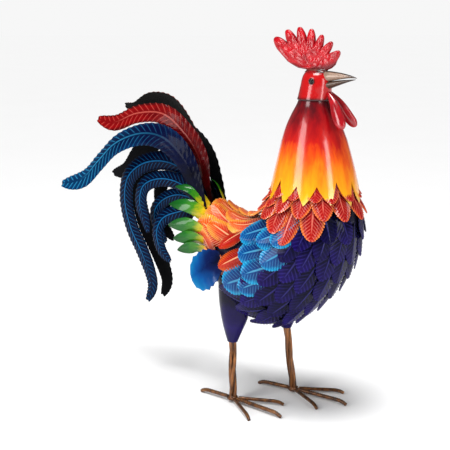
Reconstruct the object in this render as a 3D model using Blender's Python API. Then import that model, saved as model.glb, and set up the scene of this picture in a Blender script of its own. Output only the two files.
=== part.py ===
# Painted sheet-metal garden rooster, standing on bar-steel feet
#
# Metres, +Z up. The bird looks along +X and its left side is +Y. Free forms are given in
# thousandths of the bird's height, so they keep their proportions when it changes. Sheet,
# bar and gap sizes are real sizes of their own.

import math

import bmesh
import bpy
from mathutils import Matrix, Vector

# Driving sizes
BIRD_HEIGHT = 0.610
GAP = 0.0003
SHEET = 0.0014
BAR_DIAMETER = 0.0060
TOE_CLEARANCE = 0.0042
FEATHER_LIFT = 0.0042
FEATHER_CREASE = 0.0014
BODY_INSET = 0.0045
COMB_THICKNESS = 0.0090
COMB_RIM = 0.0034
EYE_DIAMETER = 0.0086
THIGH_CLEARANCE = 0.0068

# Body: back line, belly line and half width at even steps from the neck to the tail,
# each row (back x, back z, belly x, belly z, half width)
BODY_STATIONS = (
    (18, 603, 216, 603, 99),
    (-6, 561, 239, 537, 125),
    (-30, 531, 231, 456, 145),
    (-56, 513, 196, 370, 155),
    (-89, 505, 121, 282, 154),
    (-125, 507, 27, 226, 141),
    (-162, 518, -74, 243, 111),
    (-198, 539, -164, 336, 69),
)
BODY_RINGS = 13
BODY_SIDES = 24

# Feather coats: the stretch of the body that each covers, as shares along it and
# degrees from the back line, with its rows of feathers and the feathers in a row
COATS = {
    "collar": {"along": (0.015, 0.235), "around": (0, 360), "rows": 2, "feathers": 12,
               "side": 0.05, "front": -0.075, "over": 0.0030},
    "breast": {"along": (0.19, 0.94), "around": (99.5, 260.5), "rows": 9, "feathers": 8,
               "side": 0.05, "front": -0.075, "over": 0},
    "wing": {"along": (0.19, 0.735), "around": (25, 97), "rows": 5, "feathers": 4,
             "side": 0.05, "front": -0.075, "over": 0.0030},
    "back": {"along": (0.19, 0.735), "around": (-24, 24), "rows": 4, "feathers": 2,
             "side": 0.05, "front": 0, "over": 0.0030},
    "saddle": {"along": (0.69, 1.0), "around": (-71, 71), "rows": 3, "feathers": 6,
               "side": 0, "front": 0, "over": 0.0030},
}
SCALLOP = 0.30
COAT_BEND_END = 0.80
COAT_ROOT = 0.0022

# Neck: (height, radius, shift forward) from the collar up to the seam under the head
NECK_X = 111
NECK_PROFILE = (
    (600, 110, 6), (633, 105, 6), (679, 95, 5), (725, 83, 3), (756, 72, 1), (787, 58, 0), (825, 40, 0))
NECK_SIDES = 24
NECK_TOOTH = 25
NECK_NOTCH = 8
NECK_FLARE = 0.66

# Head: (height, half length, half width, shift forward), the last row is the comb's seat
HEAD_PROFILE = (
    (825, 40, 39, 0), (848, 38, 37, 3), (872, 38, 35, 5), (888, 34, 30, 5), (899, 22, 13, 4))
HEAD_SIDES = 16
EYE_PLACE = (13, 36, 874)

# Comb: a fan of points round its own centre
COMB_CENTRE = (96, 884)
COMB_POINTS = 7
COMB_ANGLES = (147, 28)
COMB_REACH = (144, 106)
COMB_NOTCH = 31

# Beak: each half from its root to its tip, (x, z, half width, height)
BEAK_UPPER = ((146, 883, 20, 22), (180, 888, 13, 15), (212, 888, 7, 8), (230, 882, 2, 2))
BEAK_LOWER = ((146, 861, 18, 14), (180, 868, 11, 9), (205, 873, 6, 5), (224, 876, 2, 2))

# Wattles: (x, y, z, half width) down the middle of the left one
WATTLE = (
    (157, 7, 845, 5), (171, 12, 832, 11), (185, 19, 810, 15), (198, 25, 788, 17), (206, 28, 771, 15),
    (209, 29, 759, 7))

# Tail: middle lines of the left-hand sickle feathers, (x, y, z) from root to tip, with the
# place of each root on the body's rear face: share down it and distance from the middle.
# The painted hand-bent pair at the top stands higher on the left.
TAIL_FEATHERS = {
    "red": {"root": (0.07, 9), "width": 54, "bank": 25, "left_rise": 30, "left_back": 22, "path": (
        (-228, 12, 570), (-243, 17, 650), (-290, 27, 718), (-354, 38, 764), (-440, 48, 760),
        (-520, 55, 730), (-585, 58, 738))},
    "blue": {"root": (0.17, 45), "width": 68, "bank": 30, "left_rise": 0, "left_back": 0, "path": (
        (-232, 50, 580), (-268, 58, 654), (-330, 64, 702), (-404, 72, 709), (-488, 84, 677),
        (-548, 94, 622), (-604, 104, 567), (-689, 110, 543))},
    "outer": {"root": (0.19, 21), "width": 54, "bank": 5, "left_rise": 0, "left_back": 0, "path": (
        (-236, 22, 560), (-290, 24, 609), (-340, 26, 628), (-396, 28, 628), (-450, 30, 610),
        (-496, 31, 568), (-506, 32, 500), (-484, 33, 425), (-444, 34, 360), (-412, 34, 295),
        (-406, 34, 256), (-428, 34, 210))},
    "second": {"root": (0.27, 33), "width": 44, "bank": 5, "left_rise": 0, "left_back": 0, "path": (
        (-240, 36, 545), (-300, 38, 578), (-368, 41, 582), (-424, 44, 556), (-436, 46, 503),
        (-416, 47, 455), (-404, 48, 421))},
    "third": {"root": (0.33, 9), "width": 40, "bank": 5, "left_rise": 0, "left_back": 0, "path": (
        (-250, 11, 520), (-312, 12, 538), (-372, 13, 520), (-408, 14, 482), (-402, 15, 440),
        (-380, 16, 412), (-362, 17, 394))},
    "inner": {"root": (0.41, 21), "width": 40, "bank": 8, "left_rise": 0, "left_back": 0, "path": (
        (-244, 32, 505), (-292, 46, 498), (-340, 58, 476), (-357, 66, 434), (-338, 70, 386),
        (-300, 72, 359))},
}
TAIL_STATIONS = 10
TAIL_BANK_RUN = 300
TAIL_ARCH = 0.09
TAIL_ROOT_RUN = 12

# Rump: green sword feathers on the rim of the body's rear end, each
# (degrees from the back line, length, spread, rise, width), with the shape they share
RUMP_ALONG = 0.995
RUMP_FEATHERS = (
    (23, 54, 3, 64, 15),
    (53, 104, 28, 26, 28),
    (82, 100, 34, 16, 26),
    (94, 92, 30, 12, 24),
    (105, 80, 34, 10, 20),
)
RUMP_ARCH = 0.08
RUMP_BEND = (0.45, 0.60, 0.75)
RUMP_HOP = 8
RUMP_WIDTHS = (0.50, 0.80, 1.0, 0.92, 0.64, 0.12)

# Wing tip plate: root place on the body under the last wing feathers, size and lean
WING_TIP = {"along": 0.722, "around": 86, "length": 108, "spread": 14, "drop": 20}
WING_TIP_ARCH = 0.08
WING_TIP_WIDTHS = (35, 67, 88, 88, 70, 26)
PLATE_LIFT = 0.0020

# Feet: hub of each foot, heading, and the lean of its leg at the top
FEET = {
    "right": {"hub": (-85, -75), "heading": -6, "top": (-87, -74), "top_height": 172},
    "left": {"hub": (8, 82), "heading": 0, "top": (-16, 80), "top_height": 186},
}
TOES = {
    "middle": {"length": 172, "angle": 0},
    "inner": {"length": 142, "angle": 30},
    "outer": {"length": 142, "angle": -30},
    "hind": {"length": 113, "angle": 184},
}
TOE_SIDES = 8
TOE_PINCH = 0.62
LEG_BARS = 3
LEG_TWIST = 110
LEG_RINGS = 8
THIGH = ((0, 29, 0), (70, 70, 6), (190, 92, 6))


# Units and curves


def scaled(thousandths):
    return thousandths * BIRD_HEIGHT / 1000


def scaled_vector(values):
    return Vector([scaled(value) for value in values])


def smooth(rows, share):
    """Catmull-Rom value at a share of the way along rows of numbers."""
    last = len(rows) - 1
    place = min(max(share, 0.0), 1.0) * last
    start = min(int(place), last - 1)
    t = place - start
    picks = [rows[min(max(start + step, 0), last)] for step in (-1, 0, 1, 2)]
    values = []
    for a, b, c, d in zip(*picks):
        values.append(b + 0.5 * t * (c - a + t * (2 * a - 5 * b + 4 * c - d + t * (3 * (b - c) + d - a))))
    return values


def even_path(points, count):
    """Points at even distances along the smooth curve through the given points."""
    samples = 12 * len(points)
    curve = [Vector(smooth(points, step / samples)) for step in range(samples + 1)]
    lengths = [0.0]
    for before, after in zip(curve, curve[1:]):
        lengths.append(lengths[-1] + (after - before).length)
    path = []
    for step in range(count + 1):
        target = lengths[-1] * step / count
        index = next(i for i in range(1, samples + 1) if lengths[i] >= target - 1e-9)
        part = (target - lengths[index - 1]) / (lengths[index] - lengths[index - 1])
        path.append(curve[index - 1].lerp(curve[index], part))
    return path


# Objects and materials


def clear_scene():
    for thing in list(bpy.data.objects):
        bpy.data.objects.remove(thing, do_unlink=True)


def enamel(name, colour, roughness=0.25, metallic=0.0):
    material = bpy.data.materials.new(name)
    material.use_nodes = True
    shader = material.node_tree.nodes["Principled BSDF"]
    shader.inputs["Base Color"].default_value = (*colour, 1.0)
    shader.inputs["Roughness"].default_value = roughness
    shader.inputs["Metallic"].default_value = metallic
    return material


def add_object(name, vertices, faces, material, smooth_angle=40):
    mesh = bpy.data.meshes.new(name)
    mesh.from_pydata([tuple(vertex) for vertex in vertices], [], faces)
    work = bmesh.new()
    work.from_mesh(mesh)
    bmesh.ops.recalc_face_normals(work, faces=work.faces)
    work.to_mesh(mesh)
    work.free()
    mesh.materials.append(material)
    mesh.shade_smooth()
    mesh.set_sharp_from_angle(angle=math.radians(smooth_angle))
    thing = bpy.data.objects.new(name, mesh)
    bpy.context.scene.collection.objects.link(thing)
    return thing


def loft(name, rings, material, smooth_angle=40):
    """A closed solid through rings of equal count, with flat ends."""
    count = len(rings[0])
    vertices = [point for ring in rings for point in ring]
    faces = [tuple(range(count)), tuple(range(len(vertices) - count, len(vertices)))]
    for ring in range(len(rings) - 1):
        for side in range(count):
            after = (side + 1) % count
            low, high = ring * count, (ring + 1) * count
            faces.append((low + side, low + after, high + after, high + side))
    return add_object(name, vertices, faces, material, smooth_angle)


def add_cutter(name, rings):
    cutter = loft(name, rings, bpy.data.materials["head_red"])
    cutter.hide_render = True
    cutter.display_type = "WIRE"
    return cutter


def cut(thing, cutter):
    boolean = thing.modifiers.new("cut_" + cutter.name, "BOOLEAN")
    boolean.operation = "DIFFERENCE"
    boolean.solver = "EXACT"
    boolean.object = cutter


def ellipse(centre, half_length, half_width, sides):
    ring = []
    for side in range(sides):
        angle = 2 * math.pi * side / sides
        ring.append(centre + Vector((half_length * math.cos(angle), half_width * math.sin(angle), 0)))
    return ring


def bar_ring(centre, across, upward, radius, sides):
    ring = []
    for side in range(sides):
        angle = 2 * math.pi * (side + 0.5) / sides
        ring.append(centre + across * (radius * math.cos(angle)) + upward * (radius * math.sin(angle)))
    return ring


# Body


def body_point(along, around, lift=0.0):
    """Place on the body: share along it, degrees from the back line, height above it."""
    def surface(share, degrees):
        back_x, back_z, belly_x, belly_z, half = smooth(BODY_STATIONS, share)
        angle = math.radians(degrees)
        middle = Vector(((back_x + belly_x) / 2, 0, (back_z + belly_z) / 2))
        rise = Vector(((back_x - belly_x) / 2, 0, (back_z - belly_z) / 2))
        point = middle + rise * math.cos(angle) + Vector((0, half * math.sin(angle), 0))
        return point * (BIRD_HEIGHT / 1000)

    place = surface(along, around)
    low, high = max(along - 0.01, 0.0), min(along + 0.01, 1.0)
    forward = surface(high, around) - surface(low, around)
    sideways = surface(along, around + 1) - surface(along, around - 1)
    return place + sideways.cross(forward).normalized() * lift


def body_normal(along, around):
    return (body_point(along, around, 1.0) - body_point(along, around)).normalized()


def body_ring(along, lift, sides):
    return [body_point(along, 360 * side / sides, lift) for side in range(sides)]


def flattened(ring, place, normal):
    """The ring moved straight along the normal onto the plane through the place."""
    return [point - normal * (point - place).dot(normal) for point in ring]


def make_body(material):
    rings = [body_ring(step / BODY_RINGS, -BODY_INSET, BODY_SIDES) for step in range(BODY_RINGS + 1)]
    seat = Vector((0, 0, scaled(BODY_STATIONS[0][1])))
    top, down, normal = rear_face()
    rings[0] = flattened(rings[0], seat, Vector((0, 0, 1)))
    rings[-1] = flattened(rings[-1], top, normal)
    return loft("body", rings, material)


# Feather coats


def coat_shift(coat, along, degrees):
    """How far the rows of a coat bend down at the bird's sides and up at its front."""
    angle = math.radians(degrees)
    bend = coat["side"] * math.sin(angle) ** 2 + coat["front"] * (0.5 - 0.5 * math.cos(angle)) ** 2
    return bend * max(0.0, 1 - (along / COAT_BEND_END) ** 2)


def coat_column(coat, column, columns):
    """Outer and inner lines of one column of a feather coat, from its root to its last tips."""
    start, end = coat["along"]
    first, last = coat["around"]
    degrees = first + (last - first) * column / columns
    pitch = (end - start) / coat["rows"]
    root = start + coat_shift(coat, start, degrees)
    outer = [body_point(root, degrees, COAT_ROOT - BODY_INSET + GAP + SHEET)]
    inner = [body_point(root, degrees, COAT_ROOT - BODY_INSET + GAP)]
    for row in range(coat["rows"]):
        phase = (column / 4 + 0.5 * (row % 2)) % 1.0
        edge = abs(2 * phase - 1)
        tip = start + pitch * (row + 1 - SCALLOP * edge ** 2)
        tip += coat_shift(coat, tip, degrees)
        final = row == coat["rows"] - 1
        over = coat["over"] if final else 0
        outer.append(body_point(tip, degrees, FEATHER_LIFT + over + FEATHER_CREASE * (1 - edge)))
        if not final:
            outer.append(body_point(tip, degrees, SHEET))
        inner.append(body_point(tip, degrees, FEATHER_LIFT + over - SHEET if over else 0.0))
    return outer, inner


def make_coat(name, coat, material):
    columns = 4 * coat["feathers"]
    ring = coat["around"][1] - coat["around"][0] == 360
    count = columns if ring else columns + 1
    lines = [coat_column(coat, column, columns) for column in range(count)]
    outer_count = len(lines[0][0])
    inner_count = len(lines[0][1])
    vertices = []
    for outer, inner in lines:
        vertices += outer + inner[::-1]
    step = outer_count + inner_count
    faces = []
    for column in range(columns):
        here, there = column * step, (column + 1) % count * step
        for place in range(step):
            after = (place + 1) % step
            faces.append((here + place, there + place, there + after, here + after))
    if not ring:
        for base in (0, columns * step):
            faces += coat_side(base, outer_count, inner_count)
    return add_object(name, vertices, faces, material, 30)


def coat_side(base, outer_count, inner_count):
    """Closes the end of a coat that doesn't run all the way round, one row at a time."""
    faces = []
    inner_first = base + outer_count + inner_count - 1
    for row in range(inner_count - 1):
        start = base + 2 * row
        line = [step for step in (start, start + 1, start + 2) if step < base + outer_count]
        faces.append(tuple(line + [inner_first - row - 1, inner_first - row]))
    return faces


def mirrored(coat):
    first, last = coat["around"]
    return {**coat, "around": (-last, -first)}


# Neck and head


def make_neck(material):
    seat = scaled(BODY_STATIONS[0][1]) + GAP
    centre_x = scaled(NECK_X + NECK_PROFILE[0][2])
    rings = []
    for height, radius, shift in reversed(NECK_PROFILE[1:]):
        centre = Vector((scaled(NECK_X + shift), 0, scaled(height)))
        rings.append(ellipse(centre, scaled(radius), scaled(radius), NECK_SIDES))
    skirt_radius = scaled(NECK_PROFILE[0][1])
    skirt_inner = skirt_radius - SHEET
    outer, inner = [], []
    for side in range(NECK_SIDES):
        angle = 2 * math.pi * side / NECK_SIDES
        direction = Vector((math.cos(angle), math.sin(angle), 0))
        tooth = scaled(NECK_TOOTH) * (0.85 + 0.15 * math.sin(3 * angle)) if side % 2 else scaled(NECK_NOTCH)
        place = Vector((centre_x, 0, seat - tooth))
        flare = NECK_FLARE * tooth
        outer.append(place + direction * (skirt_radius + flare))
        inner.append(place + direction * (skirt_inner + flare))
    rings += [outer, inner]
    shoulder = Vector((centre_x, 0, seat + SHEET))
    rings.append(ellipse(shoulder, skirt_inner, skirt_inner, NECK_SIDES))
    plug = scaled(BODY_STATIONS[0][4]) - BODY_INSET
    rings.append(ellipse(shoulder, plug, plug, NECK_SIDES))
    rings.append(ellipse(Vector((centre_x, 0, seat)), plug, plug, NECK_SIDES))
    return loft("neck", rings, material)


def head_rings(grow):
    rings = []
    for row, (height, half_length, half_width, shift) in enumerate(HEAD_PROFILE):
        low = row == 0
        high = row == len(HEAD_PROFILE) - 1
        z = scaled(height) + (GAP if low else 0) + (grow if high else 0) - (grow if low else 0)
        centre = Vector((scaled(NECK_X + shift), 0, z))
        rings.append(ellipse(centre, scaled(half_length) + grow, scaled(half_width) + grow, HEAD_SIDES))
    return rings


def comb_outline():
    """Seven rounded points with sharp notches between them, closed by a straight seat."""
    steps = 8
    centre = Vector((scaled(COMB_CENTRE[0]), 0, scaled(COMB_CENTRE[1])))
    outline = []
    total = COMB_POINTS * steps
    for step in range(total + 1):
        share = step / total
        angle = math.radians(COMB_ANGLES[0] + (COMB_ANGLES[1] - COMB_ANGLES[0]) * share)
        phase = 2 * ((share * COMB_POINTS) % 1.0) - 1
        reach = COMB_REACH[0] + (COMB_REACH[1] - COMB_REACH[0]) * min(1.0, 1.5 * share)
        radius = scaled(reach - COMB_NOTCH * abs(phase) ** 2.4)
        outline.append(centre + Vector((math.cos(angle), 0, math.sin(angle))) * radius)
    seat = scaled(HEAD_PROFILE[-1][0]) + GAP
    shift = HEAD_PROFILE[-1][3] + NECK_X
    for x, z in ((shift + 44, seat + scaled(9)), (shift + 22, seat), (shift - 22, seat),
                 (shift - 52, seat + scaled(3)), (shift - 84, seat + scaled(18))):
        outline.append(Vector((scaled(x), 0, z)))
    return outline, centre


def make_comb(material):
    outline, centre = comb_outline()
    seat = scaled(HEAD_PROFILE[-1][0]) + GAP
    hub = centre + Vector((0, 0, scaled(24)))
    rings = []
    for share, half in ((0.86, COMB_THICKNESS / 2), (1.0, COMB_RIM / 2), (1.0, -COMB_RIM / 2),
                        (0.86, -COMB_THICKNESS / 2)):
        ring = []
        for point in outline:
            moved = hub.lerp(point, share)
            moved.z = max(moved.z, seat)
            ring.append(moved + Vector((0, half, 0)))
        rings.append(ring)
    return loft("comb", rings, material)


def make_beak_half(name, rows, material, cutter):
    rings = []
    for x, z, half_width, height in rows:
        centre = Vector((scaled(x), 0, scaled(z)))
        ring = []
        for side in range(8):
            angle = 2 * math.pi * side / 8
            offset = Vector((0, scaled(half_width) * math.cos(angle), scaled(height) / 2 * math.sin(angle)))
            ring.append(centre + offset)
        rings.append(ring)
    half = loft(name, rings, material)
    cut(half, cutter)
    return half


def make_wattle(name, side, material, cutter):
    rings = []
    for x, y, z, half_width in WATTLE:
        centre = Vector((scaled(x), side * scaled(y), scaled(z)))
        ring = []
        for step in range(8):
            angle = 2 * math.pi * step / 8
            ring.append(centre + Vector((scaled(half_width) * math.cos(angle),
                                         0.6 * scaled(half_width) * math.sin(angle), 0)))
        rings.append(ring)
    wattle = loft(name, rings, material)
    cut(wattle, cutter)
    return wattle


def make_eye(name, side, material, cutter):
    mesh = bpy.data.meshes.new(name)
    work = bmesh.new()
    bmesh.ops.create_uvsphere(work, u_segments=10, v_segments=6, radius=EYE_DIAMETER / 2)
    forward, out, height = EYE_PLACE
    place = Vector((scaled(NECK_X + forward), side * (scaled(out) + GAP), scaled(height)))
    bmesh.ops.transform(work, matrix=Matrix.Translation(place), verts=work.verts)
    work.to_mesh(mesh)
    work.free()
    mesh.materials.append(material)
    mesh.shade_smooth()
    eye = bpy.data.objects.new(name, mesh)
    bpy.context.scene.collection.objects.link(eye)
    cut(eye, cutter)
    return eye


# Tail, rump and wing tips


def plume_width(share):
    """Width of a sickle feather as a share of its widest: narrow root, pointed oval tip."""
    root = 0.28 + 0.72 * math.sin(min(1.0, share / 0.4) * math.pi / 2)
    tip = math.sqrt(max(0.03, 1 - max(0.0, (share - 0.78) / 0.22) ** 2))
    return root * tip


def strip_rings(path, widths, outward, arch, first_normal=None):
    """Rings of an arched strip of sheet along a path, its crest towards outward."""
    rings = []
    last = len(path) - 1
    for index, point in enumerate(path):
        tangent = (path[min(index + 1, last)] - path[max(index - 1, 0)]).normalized()
        lift = outward(point, tangent)
        lift = (lift - tangent * lift.dot(tangent)).normalized()
        across = tangent.cross(lift)
        half = widths[index] / 2
        rise = lift * (arch * widths[index])
        under = lift * -SHEET
        ring = [point - across * half, point + rise, point + across * half,
                point + across * half + under, point + rise + under, point - across * half + under]
        if index == 0 and first_normal:
            ring = flattened(ring, point, first_normal)
        rings.append(ring)
    return rings


def rear_face():
    """Top of the body's flat rear end, the way down it, and its outward normal."""
    back_x, back_z, belly_x, belly_z, half = BODY_STATIONS[-1]
    top = Vector((scaled(back_x), 0, scaled(back_z)))
    down = Vector((scaled(belly_x), 0, scaled(belly_z))) - top
    normal = Vector((down.z, 0, -down.x)).normalized()
    return top, down, normal if normal.x < 0 else -normal


def make_tail_feather(name, feather, side, material):
    top, down, normal = rear_face()
    share, column = feather["root"]
    root = top + down * share + normal * GAP + Vector((0, scaled(column), 0))
    points = [root, root + normal * scaled(TAIL_ROOT_RUN)]
    points += [scaled_vector(point) for point in feather["path"]]
    if side > 0:
        rise, back = scaled(feather["left_rise"]), scaled(feather["left_back"])
        for index, point in enumerate(points):
            point.z += rise * min(1, max(0, index / 3 - 1))
            point.x -= back * math.sin(math.pi * index / (len(points) - 1))
    path = [Vector((point.x, side * point.y, point.z)) for point in even_path(points, TAIL_STATIONS)]
    widths = [scaled(feather["width"]) * plume_width(index / TAIL_STATIONS) for index in range(len(path))]
    bank = math.radians(feather["bank"])

    def outward(point, tangent):
        lean = bank * min(1.0, (point - path[0]).length / scaled(TAIL_BANK_RUN))
        above = Vector((0, 1, 0)).cross(tangent)
        return Vector((0, side * math.cos(lean), 0)) + above * math.sin(lean)

    return loft(name, strip_rings(path, widths, outward, TAIL_ARCH, normal), material, 30)


def make_rump_feather(name, feather, side, material):
    around, length, spread, rise, width = feather
    root = body_point(RUMP_ALONG, around, SHEET + GAP + PLATE_LIFT - BODY_INSET)
    back, out, up = RUMP_BEND
    bend = root + scaled_vector((-length * back, spread * out, rise * up + RUMP_HOP))
    tip = root + scaled_vector((-length, spread, rise))
    points = even_path([root, bend, tip], len(RUMP_WIDTHS) - 1)
    path = [Vector((point.x, side * point.y, point.z)) for point in points]
    widths = [scaled(width) * part for part in RUMP_WIDTHS]

    normal = body_normal(RUMP_ALONG, around)
    normal.y *= side

    def outward(point, tangent):
        return normal

    return loft(name, strip_rings(path, widths, outward, RUMP_ARCH), material, 30)


def make_wing_tip(name, side, material):
    plate = WING_TIP
    root = body_point(plate["along"], plate["around"], SHEET + GAP + PLATE_LIFT - BODY_INSET)
    end = root + scaled_vector((-plate["length"], plate["spread"], -plate["drop"]))
    points = even_path([root, end], len(WING_TIP_WIDTHS) - 1)
    path = [Vector((point.x, side * point.y, point.z)) for point in points]
    widths = [scaled(width) for width in WING_TIP_WIDTHS]

    normal = body_normal(plate["along"], plate["around"])
    normal.y *= side

    def outward(point, tangent):
        return normal

    return loft(name, strip_rings(path, widths, outward, WING_TIP_ARCH), material, 30)


# Legs and feet


def foot_place(foot):
    x, y = FEET[foot]["hub"]
    return Vector((scaled(x), scaled(y), TOE_CLEARANCE + BAR_DIAMETER / 2))


def make_leg(foot, material):
    """Twisted bundle of bars from the foot's hub up into the thigh."""
    low = foot_place(foot) - Vector((0, 0, BAR_DIAMETER / 2))
    x, y = FEET[foot]["top"]
    high = Vector((scaled(x), scaled(y), scaled(FEET[foot]["top_height"])))
    across = Vector((1, 0, 0))
    other = Vector((0, 1, 0))
    radius = BAR_DIAMETER / 2
    reach = radius / math.sin(math.pi / LEG_BARS)
    rings = []
    for step in range(LEG_RINGS + 1):
        share = step / LEG_RINGS
        ring = []
        for bar in range(LEG_BARS):
            turn = 2 * math.pi * bar / LEG_BARS + math.radians(LEG_TWIST) * share
            middle = across * math.cos(turn) * reach + other * math.sin(turn) * reach
            for spread in (-64, 0, 64):
                angle = turn + math.radians(spread)
                ring.append(low.lerp(high, share) + middle
                            + across * math.cos(angle) * radius + other * math.sin(angle) * radius)
        rings.append(ring)
    return loft(foot + "_leg", rings, material)


def make_toe(foot, toe, material):
    """Bar from beside the leg, level above the ground, then bent down to a flat end on it."""
    hub = foot_place(foot)
    side = 1 if foot == "left" else -1
    turn = TOES[toe]["angle"]
    turn = -side * turn if toe in ("inner", "outer") else turn
    angle = math.radians(FEET[foot]["heading"] + turn)
    forward = Vector((math.cos(angle), math.sin(angle), 0))
    across = Vector((-forward.y, forward.x, 0))
    radius = BAR_DIAMETER / 2
    start = leg_reach() + GAP
    length = scaled(TOES[toe]["length"])
    fall = hub.z
    root = hub + forward * start
    pinched = [point - across * (point - root).dot(across) * TOE_PINCH
               for point in bar_ring(root, across, Vector((0, 0, 1)), radius, TOE_SIDES)]
    rings = [pinched]
    for distance, drop, tilt in ((start + 2.4 * radius, 0, 0), (length - 3.4 * fall, 0, 0),
                                 (length - 1.6 * fall, 0.16, 24), (length - 0.5 * fall, 0.55, 55),
                                 (length, 1.0, 90)):
        lean = math.radians(tilt)
        upward = Vector((0, 0, math.cos(lean))) + forward * math.sin(lean)
        centre = hub + forward * distance - Vector((0, 0, fall * drop))
        rings.append(bar_ring(centre, across, upward, radius, TOE_SIDES))
    return loft(foot + "_" + toe + "_toe", rings, material)


def leg_reach():
    """Distance from the middle of a leg to the outside of its bars."""
    return BAR_DIAMETER / 2 * (1 + 1 / math.sin(math.pi / LEG_BARS))


def make_thigh(foot, material, cutter):
    x, y = FEET[foot]["top"]
    bottom = scaled(FEET[foot]["top_height"]) + GAP
    rings = []
    for height, width, shift in THIGH:
        centre = Vector((scaled(x + shift), scaled(y), bottom + scaled(height)))
        half = scaled(width) / 2
        rings.append(ellipse(centre, half, half * 0.86, 16))
    thigh = loft(foot + "_thigh", rings, material)
    cut(thigh, cutter)
    return thigh


# The whole bird


def make_materials():
    return {
        "body_navy": enamel("body_navy", (0.02, 0.03, 0.12)),
        "breast_navy": enamel("breast_navy", (0.03, 0.03, 0.28)),
        "wing_blue": enamel("wing_blue", (0.02, 0.22, 0.62)),
        "saddle_orange": enamel("saddle_orange", (0.85, 0.22, 0.03)),
        "collar_red": enamel("collar_red", (0.75, 0.07, 0.03)),
        "neck_orange": enamel("neck_orange", (0.85, 0.25, 0.03)),
        "head_red": enamel("head_red", (0.55, 0.01, 0.01)),
        "comb_red": enamel("comb_red", (0.60, 0.01, 0.02)),
        "beak_grey": enamel("beak_grey", (0.25, 0.19, 0.14), 0.4),
        "eye_black": enamel("eye_black", (0.01, 0.01, 0.01), 0.1),
        "tail_blue": enamel("tail_blue", (0.02, 0.15, 0.35)),
        "tail_red": enamel("tail_red", (0.35, 0.02, 0.03)),
        "rump_green": enamel("rump_green", (0.10, 0.45, 0.08)),
        "leg_copper": enamel("leg_copper", (0.30, 0.16, 0.07), 0.4, 0.8),
    }


def make_plumage(materials):
    make_coat("collar", COATS["collar"], materials["collar_red"])
    make_coat("breast", COATS["breast"], materials["breast_navy"])
    make_coat("left_wing", COATS["wing"], materials["wing_blue"])
    make_coat("right_wing", mirrored(COATS["wing"]), materials["wing_blue"])
    make_coat("back", COATS["back"], materials["saddle_orange"])
    make_coat("saddle", COATS["saddle"], materials["saddle_orange"])


def make_sides(materials, thigh_cutter, head_cutter):
    for name, side in (("left", 1), ("right", -1)):
        make_eye(name + "_eye", side, materials["eye_black"], head_cutter)
        make_wattle(name + "_wattle", side, materials["comb_red"], head_cutter)
        make_thigh(name, materials["breast_navy"], thigh_cutter)
        make_leg(name, materials["leg_copper"])
        make_wing_tip(name + "_wing_tip", side, materials["wing_blue"])
        for toe in TOES:
            make_toe(name, toe, materials["leg_copper"])
        for plume, feather in TAIL_FEATHERS.items():
            paint = materials["tail_red" if plume == "red" else "tail_blue"]
            make_tail_feather(name + "_tail_" + plume, feather, side, paint)
        for number, feather in enumerate(RUMP_FEATHERS, 1):
            make_rump_feather(name + "_rump_%d" % number, feather, side, materials["rump_green"])


def stand_on_origin():
    """Moves everything so that the middle of the bird's footprint box is at the origin."""
    bpy.context.view_layer.update()
    corners = []
    for thing in bpy.data.objects:
        if not thing.hide_render:
            corners += [thing.matrix_world @ Vector(corner) for corner in thing.bound_box]
    low = [min(corner[axis] for corner in corners) for axis in range(3)]
    high = [max(corner[axis] for corner in corners) for axis in range(3)]
    shift = Vector(((low[0] + high[0]) / 2, (low[1] + high[1]) / 2, low[2]))
    for thing in bpy.data.objects:
        thing.location -= shift


def main():
    clear_scene()
    materials = make_materials()
    make_body(materials["body_navy"])
    make_plumage(materials)
    make_neck(materials["neck_orange"])
    loft("head", head_rings(0.0), materials["head_red"])
    head_cutter = add_cutter("head_cutter", head_rings(GAP))
    cutter_rings = 2 * BODY_RINGS
    thigh_cutter = add_cutter("body_cutter", [
        body_ring(step / cutter_rings, THIGH_CLEARANCE, 2 * BODY_SIDES) for step in range(cutter_rings + 1)])
    make_comb(materials["comb_red"])
    make_beak_half("upper_beak", BEAK_UPPER, materials["beak_grey"], head_cutter)
    make_beak_half("lower_beak", BEAK_LOWER, materials["beak_grey"], head_cutter)
    make_sides(materials, thigh_cutter, head_cutter)
    stand_on_origin()


main()
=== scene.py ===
import math
import random
from functools import partialmethod

import bmesh
import bpy
from mathutils import Matrix, Vector, noise


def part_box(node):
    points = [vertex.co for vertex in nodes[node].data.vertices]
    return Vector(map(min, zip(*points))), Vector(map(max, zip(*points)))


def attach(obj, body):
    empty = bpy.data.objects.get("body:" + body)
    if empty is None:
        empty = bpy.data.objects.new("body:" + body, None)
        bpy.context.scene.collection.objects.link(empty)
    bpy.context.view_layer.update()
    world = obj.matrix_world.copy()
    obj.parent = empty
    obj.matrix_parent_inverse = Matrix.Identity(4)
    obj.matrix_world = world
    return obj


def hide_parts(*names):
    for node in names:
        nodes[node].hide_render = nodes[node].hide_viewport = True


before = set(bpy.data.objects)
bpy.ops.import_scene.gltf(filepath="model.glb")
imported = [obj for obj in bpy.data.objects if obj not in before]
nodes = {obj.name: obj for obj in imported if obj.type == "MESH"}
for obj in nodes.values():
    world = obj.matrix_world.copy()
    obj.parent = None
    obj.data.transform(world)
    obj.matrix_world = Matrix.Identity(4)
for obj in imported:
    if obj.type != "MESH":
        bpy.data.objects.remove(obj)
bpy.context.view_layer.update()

# the bird's free forms are in thousandths of its height. Its drawing starts under the middle of
# the body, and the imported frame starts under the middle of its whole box, so every place moves
# by the same shift, which is read from the eyes.
bird = {"height": 0.610, "eyeForward": 124, "sheet": 0.0012}
unit = bird["height"] / 1000
eyeBoxes = [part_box("left_eye"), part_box("right_eye")]
eyeMiddle = sum((low + high for low, high in eyeBoxes), Vector()) / 4
shift = Vector((eyeMiddle.x - bird["eyeForward"] * unit, eyeMiddle.y, 0))


def spot(x, y, z):
    return Vector((x, y, z)) * unit + shift


# short ways to write node trees: a Wire is an output that can be reckoned with


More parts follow.
